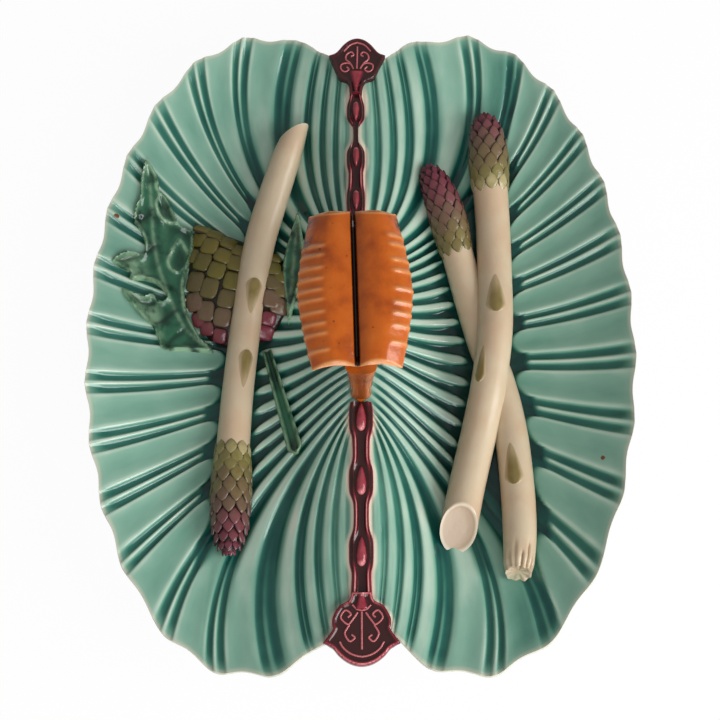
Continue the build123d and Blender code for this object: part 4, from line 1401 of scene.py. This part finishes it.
# Artichoke: a half-sunk round head set with rows of square bracts, olive above and crimson at the tip,
# with dark glaze and painted shade in the grooves. The left spear lies across it.
head_outline = [
    (-0.0927, 0.0722), (-0.0800, 0.0684), (-0.0668, 0.0636), (-0.0530, 0.0570), (-0.0450, 0.0496),
    (-0.0411, 0.0355), (-0.0414, 0.0222), (-0.0463, 0.0125), (-0.0534, 0.0047), (-0.0650, 0.0012),
    (-0.0758, 0.0012), (-0.0857, 0.0058), (-0.0921, 0.0149), (-0.0964, 0.0251), (-0.0979, 0.0344),
    (-0.0979, 0.0468), (-0.0962, 0.0574), (-0.0945, 0.0690), (-0.0927, 0.0722),
]
head_edge = smooth_curve(head_outline, 160)[:-1]
head_rise = 0.0115
head_slope_width = 0.022
head_bract_width, widest_bract = 0.0102, 1.3
head_bract_overlap = 1.05
head_bract_height = 0.0080
head_bract_lift = 0.0002
slope_step = 0.002
last_row, last_row_size = 5, 0.8
head_younger, head_age_scatter = 0.05, 0.04
# The bracts as they lie in plan: the number of a column's first row, and its places from stem end to tip
bract_columns_plan = [
    (0, [(-0.0907, 0.0696), (-0.0927, 0.0628), (-0.0956, 0.0540)]),
    (0, [
        (-0.0834, 0.0663), (-0.0856, 0.0574), (-0.0895, 0.0486), (-0.0935, 0.0373), (-0.0940, 0.0259),
        (-0.0912, 0.0160),
    ]),
    (0, [
        (-0.0755, 0.0609), (-0.0778, 0.0513), (-0.0811, 0.0424), (-0.0850, 0.0322), (-0.0871, 0.0197),
        (-0.0866, 0.0105),
    ]),
    (0, [
        (-0.0684, 0.0556), (-0.0704, 0.0468), (-0.0723, 0.0360), (-0.0752, 0.0253), (-0.0774, 0.0151),
        (-0.0790, 0.0061),
    ]),
    (1, [
        (-0.0500, 0.0530), (-0.0500, 0.0450), (-0.0488, 0.0360), (-0.0499, 0.0259), (-0.0516, 0.0151),
        (-0.0539, 0.0078),
    ]),
    (2, [(-0.0440, 0.0400), (-0.0438, 0.0318), (-0.0456, 0.0224)]),
]

artichoke_glaze, tree, shader = new_glaze("artichoke_glaze", roughness=0.24)
age = clouded(tree, read(tree, "age"), size=0.006, strength=0.2)
head_colour = ramp(
    tree, age, (0.0, tint(112, 98, 38)), (0.35, tint(100, 92, 36)), (0.62, tint(98, 84, 54)),
    (0.80, tint(110, 86, 70)), (0.92, tint(112, 56, 62)), (1.0, tint(110, 44, 56)),
)
# Painted shade, with dark glaze, in the grooves and on the core between the bracts
head_shadow = ramp(tree, age, (0.0, tint(36, 30, 8)), (0.8, tint(32, 26, 14)), (1.0, tint(40, 14, 16)))
head_colour = dye(tree, read(tree, "depth"), head_colour, head_shadow)
end_glaze(tree, shader, head_colour, wave_size=0.003, wave_depth=0.0002)


def head_height(x, y, edge):
    """Height of the domed head at a distance from its edge."""
    return bed_height(x, y) + head_rise * (1 - (1 - np.clip(edge / head_slope_width, 0, 1)) ** 2)


# The core shows between the bracts wholly in the painted shade colour
core = draped(
    "artichoke_core_dome", head_edge, 0.0016, head_height, lambda x, y: bed_height(x, y) - seat_depth,
    depth=lambda x, y, edge: np.ones(len(x)), age=lambda x, y, edge: 1 - fade(y, 0.0, 0.05),
)
core.data.materials.append(artichoke_glaze)
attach(core, "root")
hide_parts("artichoke_core")


def head_point(x, y):
    """Point on the head over a place in plan."""
    x, y = np.array([x]), np.array([y])
    return np.array([x[0], y[0], head_height(x, y, edge_distance(x, y, head_edge))[0]])


spots, facings, sizes, ages = [], [], [], []
for first_row, places in bract_columns_plan:
    column = np.array([head_point(x, y) for x, y in places])
    steps = np.gradient(column, axis=0)
    for row, (spot, step) in enumerate(zip(column, steps), start=first_row):
        x, y = spot[:2]
        rise_x = head_point(x + slope_step, y)[2] - head_point(x - slope_step, y)[2]
        rise_y = head_point(x, y + slope_step)[2] - head_point(x, y - slope_step)[2]
        slope_x, slope_y = rise_x / (2 * slope_step), rise_y / (2 * slope_step)
        spots.append(spot + (0, 0, head_bract_lift))
        facings.append(facing(step, (-slope_x, -slope_y, 1.0)))
        steep = min(np.sqrt(1 + slope_x**2), widest_bract)
        size = last_row_size if row == last_row else 1.0
        length = np.linalg.norm(step) * head_bract_overlap * size
        sizes.append((head_bract_width * steep * size, length, head_bract_height))
        ages.append(row / last_row - head_younger + scatter.uniform(-head_age_scatter, head_age_scatter))
head_bract = scale_shape("head_bract_shape", 5.0)
bract_set = set_scales("artichoke_bract_rows", spots, facings, sizes, ages, head_bract, artichoke_glaze)
bpy.data.objects.remove(head_bract)
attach(bract_set, "root")
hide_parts("artichoke_bracts")

# Leaves: a large lobed leaf beside the artichoke, a small pointed one on its other side and a cut, grooved
# leaf stalk. Deep green glaze that breaks to pale green along the edges and the midrib, with pooled glaze and
# painted shade along the veins and painted shade beside the artichoke.
large_leaf_outline = [
    (-0.1225, 0.1067), (-0.1250, 0.0959), (-0.1253, 0.0857), (-0.1274, 0.0787), (-0.1285, 0.0702),
    (-0.1259, 0.0670), (-0.1223, 0.0584), (-0.1229, 0.0519), (-0.1308, 0.0518), (-0.1388, 0.0451),
    (-0.1350, 0.0418), (-0.1296, 0.0401), (-0.1290, 0.0355), (-0.1224, 0.0368), (-0.1147, 0.0347),
    (-0.1092, 0.0283), (-0.1127, 0.0250), (-0.1171, 0.0291), (-0.1221, 0.0274), (-0.1325, 0.0297),
    (-0.1315, 0.0248), (-0.1277, 0.0208), (-0.1224, 0.0147), (-0.1164, 0.0095), (-0.1136, 0.0033),
    (-0.1095, -0.0033), (-0.0979, -0.0027), (-0.0830, -0.0028), (-0.0900, 0.0054), (-0.0952, 0.0145),
    (-0.0988, 0.0236), (-0.1000, 0.0349), (-0.0988, 0.0445), (-0.0965, 0.0523), (-0.0950, 0.0601),
    (-0.0965, 0.0682), (-0.1030, 0.0715), (-0.1070, 0.0790), (-0.1110, 0.0860), (-0.1150, 0.0900),
    (-0.1159, 0.0968), (-0.1194, 0.1035), (-0.1225, 0.1067),
]
large_midrib = [
    (-0.0830, -0.0028), (-0.0983, 0.0095), (-0.1095, 0.0321), (-0.1162, 0.0538), (-0.1185, 0.0777),
    (-0.1206, 0.0959), (-0.1224, 0.1056),
]
large_veins = [
    [(-0.1170, 0.0560), (-0.1260, 0.0490), (-0.1370, 0.0450)],
    [(-0.1105, 0.0340), (-0.1120, 0.0260), (-0.1220, 0.0230), (-0.1310, 0.0290)],
    [(-0.1040, 0.0200), (-0.1120, 0.0130), (-0.1170, 0.0110)],
    [(-0.1185, 0.0777), (-0.1230, 0.0720), (-0.1280, 0.0700)],
    [(-0.0985, 0.0095), (-0.1060, 0.0030), (-0.1090, -0.0020)],
]
# The eyes are raised loops in the bays between the leaf and the artichoke
large_eyes = [
    [
        (-0.1144, 0.0883), (-0.1160, 0.0810), (-0.1132, 0.0740), (-0.1054, 0.0718), (-0.1081, 0.0794),
        (-0.1122, 0.0863), (-0.1144, 0.0883),
    ],
    [
        (-0.1034, 0.0631), (-0.1084, 0.0530), (-0.1086, 0.0464), (-0.1037, 0.0432), (-0.0986, 0.0475),
        (-0.0983, 0.0542), (-0.1034, 0.0631),
    ],
]
small_leaf_base, small_leaf_tip = (-0.0405, 0.012), (-0.0355, 0.080)
small_leaf_width = 0.013
leaf_edge_thickness = 0.0020
leaf_edge_round = 0.0010
leaf_midrib_rise = 0.0018
leaf_midrib_spread = 0.0040
leaf_sink = 0.0030
# The edge curls up, the blade is hollow inside it, the veins are grooves, and the blade is crumpled
leaf_curl, leaf_curl_at, leaf_curl_spread = 0.0011, 0.0012, 0.0009
leaf_hollow, leaf_hollow_from = 0.0008, (0.0015, 0.005)
vein_depth, vein_spread = 0.0010, 0.0016
eye_rise, eye_spread = 0.0012, 0.0008
crumple, crumple_from = 0.0006, (0.001, 0.004)
crumple_x, crumple_y = 0.0021, 0.0033
crumple_sway, crumple_sway_y = 1.7, 0.0047
edge_rounding = 0.8
# Where the glaze is thin and pale: at the edge, on the loops, on the midrib and on the outer lobes
thin_edge = (0.0006, 0.0026)
thin_loop_spread = 0.0009
thin_midrib, thin_midrib_spread = 0.5, 0.0010
thin_lobes, thin_lobes_from, thin_lobes_x = 0.6, (0.003, 0.013), (0.108, 0.114)
# Where it is darkened: pooled glaze and painted shade along the veins, and painted shade in the large leaf's
# hollow beside the artichoke
dark_from_edge = (0.0005, 0.003)
dark_vein, dark_vein_spread = 0.7, 0.0014
hollow_shade, hollow_shade_x, hollow_shade_y = 0.6, (-0.113, -0.104), (0.040, 0.052)
dark_off_loops = (0.0015, 0.004)
large_leaf_to = -0.06

green_deep = tint(10, 50, 36)
green_full = tint(42, 96, 70)
green_pale = tint(142, 176, 142)
green_shade = tint(8, 32, 24)
leaf_glaze, tree, shader = new_glaze("leaf_glaze", roughness=0.15)
green = dye(tree, step_up(tree, mottle(tree, 0.014), 0.34, 0.64), green_deep, green_full)
pale = times(tree, read(tree, "thin"), step_up(tree, mottle(tree, 0.007), 0.28, 0.6))
green = dye(tree, pale, green, green_pale)
# Painted shade along the veins and in the hollow beside the artichoke
green = dye(tree, read(tree, "shade"), green, green_shade)
end_glaze(tree, shader, green, wave_size=0.004, wave_depth=0.0002)


def off_line(x, y, line, count=40):
    """Distance of each point from a smooth open line."""
    line = smooth_curve(line, count)
    return edge_distance(x, y, np.concatenate([line, line[::-1]]))


def leaf_rules(midrib, veins, eyes):
    """Top of a leaf, where its glaze is thin and where it has painted shade, for its midrib, veins and eyes.
    """

    def nearest(x, y, lines):
        return np.min([off_line(x, y, line) for line in lines] + [np.full(len(x), 1.0)], axis=0)

    def top(x, y, edge):
        rounded = round_over(edge, leaf_edge_round)
        fold = leaf_midrib_rise * bell(off_line(x, y, midrib), leaf_midrib_spread)
        curl = leaf_curl * bell(edge - leaf_curl_at, leaf_curl_spread)
        curl = curl - leaf_hollow * fade(edge, *leaf_hollow_from)
        groove = vein_depth * bell(nearest(x, y, veins), vein_spread)
        loop = eye_rise * bell(nearest(x, y, eyes), eye_spread)
        sway = crumple_sway * np.sin(y / crumple_sway_y)
        wave = crumple * np.sin(x / crumple_x + sway) * np.sin(y / crumple_y)
        wave = wave * fade(edge, *crumple_from)
        blade = bed_height(x, y) + leaf_edge_thickness * (1 - edge_rounding * rounded)
        return blade + fold + curl - groove + loop + wave

    def thin(x, y, edge):
        rim = 1 - fade(edge, *thin_edge)
        loop = bell(nearest(x, y, eyes), thin_loop_spread)
        crest = thin_midrib * bell(off_line(x, y, midrib), thin_midrib_spread)
        lobes = thin_lobes * fade(off_line(x, y, midrib), *thin_lobes_from) * fade(-x, *thin_lobes_x)
        return np.maximum(np.maximum(rim, loop), np.maximum(crest, lobes))

    def shade(x, y, edge):
        inside = fade(edge, *dark_from_edge)
        vein = dark_vein * bell(nearest(x, y, veins), dark_vein_spread) * inside
        hollow = hollow_shade * fade(x, *hollow_shade_x) * fade(y, *hollow_shade_y)
        hollow = hollow * fade(nearest(x, y, eyes), *dark_off_loops)
        return np.maximum(vein, hollow * (x < large_leaf_to) * inside)

    return top, thin, shade


def leaf_bottom(x, y):
    """Sunk into the flutes of the dish."""
    return bed_height(x, y) - leaf_sink


small_base, small_tip = np.array(small_leaf_base), np.array(small_leaf_tip)
small_along = (small_tip - small_base) / np.hypot(*(small_tip - small_base))
small_across = np.array([small_along[1], -small_along[0]])
small_middle = (small_base + small_tip) / 2
small_outline = [small_base, small_middle + small_across * small_leaf_width / 2, small_tip]
small_other = [small_tip, small_middle - small_across * small_leaf_width / 2, small_base]
small_leaf_outline = np.concatenate([smooth_curve(small_outline, 50), smooth_curve(small_other, 50)[1:-1]])
for name, outline, midrib, veins, eyes in (
    ("large_leaf", smooth_curve(large_leaf_outline, 300)[:-1], large_midrib, large_veins, large_eyes),
    ("small_leaf", small_leaf_outline, [small_leaf_base, tuple(small_middle), small_leaf_tip], [], []),
):
    top, thin, shade = leaf_rules(midrib, veins, eyes)
    leaf = draped(name + "_blade", outline, 0.0011, top, leaf_bottom, thin=thin, shade=shade)
    leaf.data.materials.append(leaf_glaze)
    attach(leaf, "root")
    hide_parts(name)

# The leaf stalk is narrow at the top. At the cut its sides draw in, its groove fills and its glaze thins
stalk_from, stalk_to = np.array((-0.0525, -0.003)), np.array((-0.035, -0.064))
stalk_half_width = 0.0044
stalk_height = 0.0034
stalk_top_share = 0.62
stalk_closes, stalk_pinch = (0.93, 1.0), 0.75
groove_share, groove_fill = 0.6, 0.3
stalk_thin, stalk_thin_end = 0.7, (0.965, 0.99)
stalk_run = np.linspace(0, 1, 60)
stalk_along = (stalk_to - stalk_from) / np.hypot(*(stalk_to - stalk_from))
stalk_across = np.array([-stalk_along[1], stalk_along[0]])
# Across the stalk: share of its half width, share of its height, and how thin the glaze is
stalk_section = np.array([
    (-1.0, -0.9, 0.0), (-1.0, 0.5, 0.5), (-0.9, 0.9, 0.9), (-0.75, 1.0, 1.0), (-0.55, 0.85, 0.4),
    (-0.35, 0.5, 0.0), (0.0, 0.35, 0.0), (0.35, 0.5, 0.0), (0.55, 0.85, 0.4), (0.75, 1.0, 1.0),
    (0.9, 0.9, 0.9), (1.0, 0.5, 0.5), (1.0, -0.9, 0.0),
])
points, thin = [], []
for share in stalk_run:
    taper = stalk_top_share + (1 - stalk_top_share) * share
    closing = fade(share, *stalk_closes)
    centre = stalk_from + (stalk_to - stalk_from) * share
    off_centre = stalk_section[:, :1] * stalk_half_width * taper * (1 - stalk_pinch * closing**2)
    plan = centre[None, :] + off_centre * stalk_across[None, :]
    lip = np.where(np.abs(stalk_section[:, 0]) < groove_share, groove_fill * closing, 0)
    z = bed_height(plan[:, 0], plan[:, 1]) + stalk_height * (stalk_section[:, 1] + lip)
    points.append(np.concatenate([plan, z[:, None]], axis=1))
    thin.append(np.maximum(stalk_section[:, 2] * stalk_thin, fade(share, *stalk_thin_end)))
cut_stalk = make_piece("leaf_stalk_rib", points, tube_faces(len(stalk_run), len(stalk_section)), thin=thin)
cut_stalk.data.materials.append(leaf_glaze)
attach(cut_stalk, "root")
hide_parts("leaf_stalk")

# Stage: a pale floor that shows white behind the plate and keeps its shadow, a soft light at the near right
# side, a second one in front, and the camera nearly overhead.
floor_half = 3.0
floor_corners = [(x * floor_half, y * floor_half, 0) for x, y in ((-1, -1), (1, -1), (1, 1), (-1, 1))]
floor = make_piece("floor", floor_corners, [(0, 1, 2, 3)])
floor_paper = bpy.data.materials.new("floor_paper")
floor_paper.use_nodes = True
tree = floor_paper.node_tree
tree.nodes.clear()
seen = add(tree, "ShaderNodeLightPath")
direct = calc(tree, "MAXIMUM", seen.outputs["Is Camera Ray"], seen.outputs["Is Glossy Ray"])
direct = calc(tree, "MAXIMUM", direct, seen.outputs["Is Transmission Ray"])
direct = times(tree, direct, 0.95)
matt = add(tree, "ShaderNodeBsdfDiffuse", {"Color": (0.86, 0.86, 0.85, 1)}).outputs[0]
white = add(tree, "ShaderNodeEmission", {"Color": (1, 1, 1, 1), "Strength": 1.0}).outputs[0]
paper = add(tree, "ShaderNodeMixShader", {0: direct, 1: matt, 2: white}).outputs[0]
add(tree, "ShaderNodeOutputMaterial", {"Surface": paper})
floor.data.materials.append(floor_paper)
floor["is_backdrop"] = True

for name, place, size, watts in (
    ("key_light", (1.15, -0.45, 0.65), 0.9, 18.0),
    ("front_light", (0.15, -1.15, 0.80), 0.8, 9.0),
):
    lamp = bpy.data.lights.new(name, "AREA")
    lamp.size = size
    lamp.energy = watts
    light = place_object(name, lamp)
    light.location = place
    light.rotation_euler = (Vector((0, 0, 0.02)) - Vector(place)).to_track_quat("-Z", "Y").to_euler()
world = bpy.data.worlds.new("studio")
world.use_nodes = True
studio_light = world.node_tree.nodes["Background"]
studio_light.inputs["Color"].default_value = (1, 1, 1, 1)
studio_light.inputs["Strength"].default_value = 0.36
bpy.context.scene.world = world

camera_elevation = radians(71.7)
camera_azimuth = radians(-0.51)
camera_roll = radians(0.35)
camera_distance = 0.8
camera_target = Vector((-0.0003, -0.0029, 0.0))
lens = bpy.data.cameras.new("camera")
lens.lens = 69.94
lens.sensor_width = 36.0
camera = place_object("camera", lens)
flat_reach = cos(camera_elevation)
back = Vector((sin(camera_azimuth) * flat_reach, -cos(camera_azimuth) * flat_reach, sin(camera_elevation)))
level = Vector((0, 0, 1)).cross(back).normalized()
upright = back.cross(level)
right = level * cos(camera_roll) + upright * sin(camera_roll)
up = upright * cos(camera_roll) - level * sin(camera_roll)
turned = Matrix((right, up, back)).transposed().to_4x4()
camera.matrix_world = Matrix.Translation(camera_target + back * camera_distance) @ turned
bpy.context.scene.camera = camera
bpy.context.scene.view_settings.view_transform = "Standard"

sizes = {"cad": [list(corner) for corner in cad_box], "visual": [list(corner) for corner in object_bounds()]}
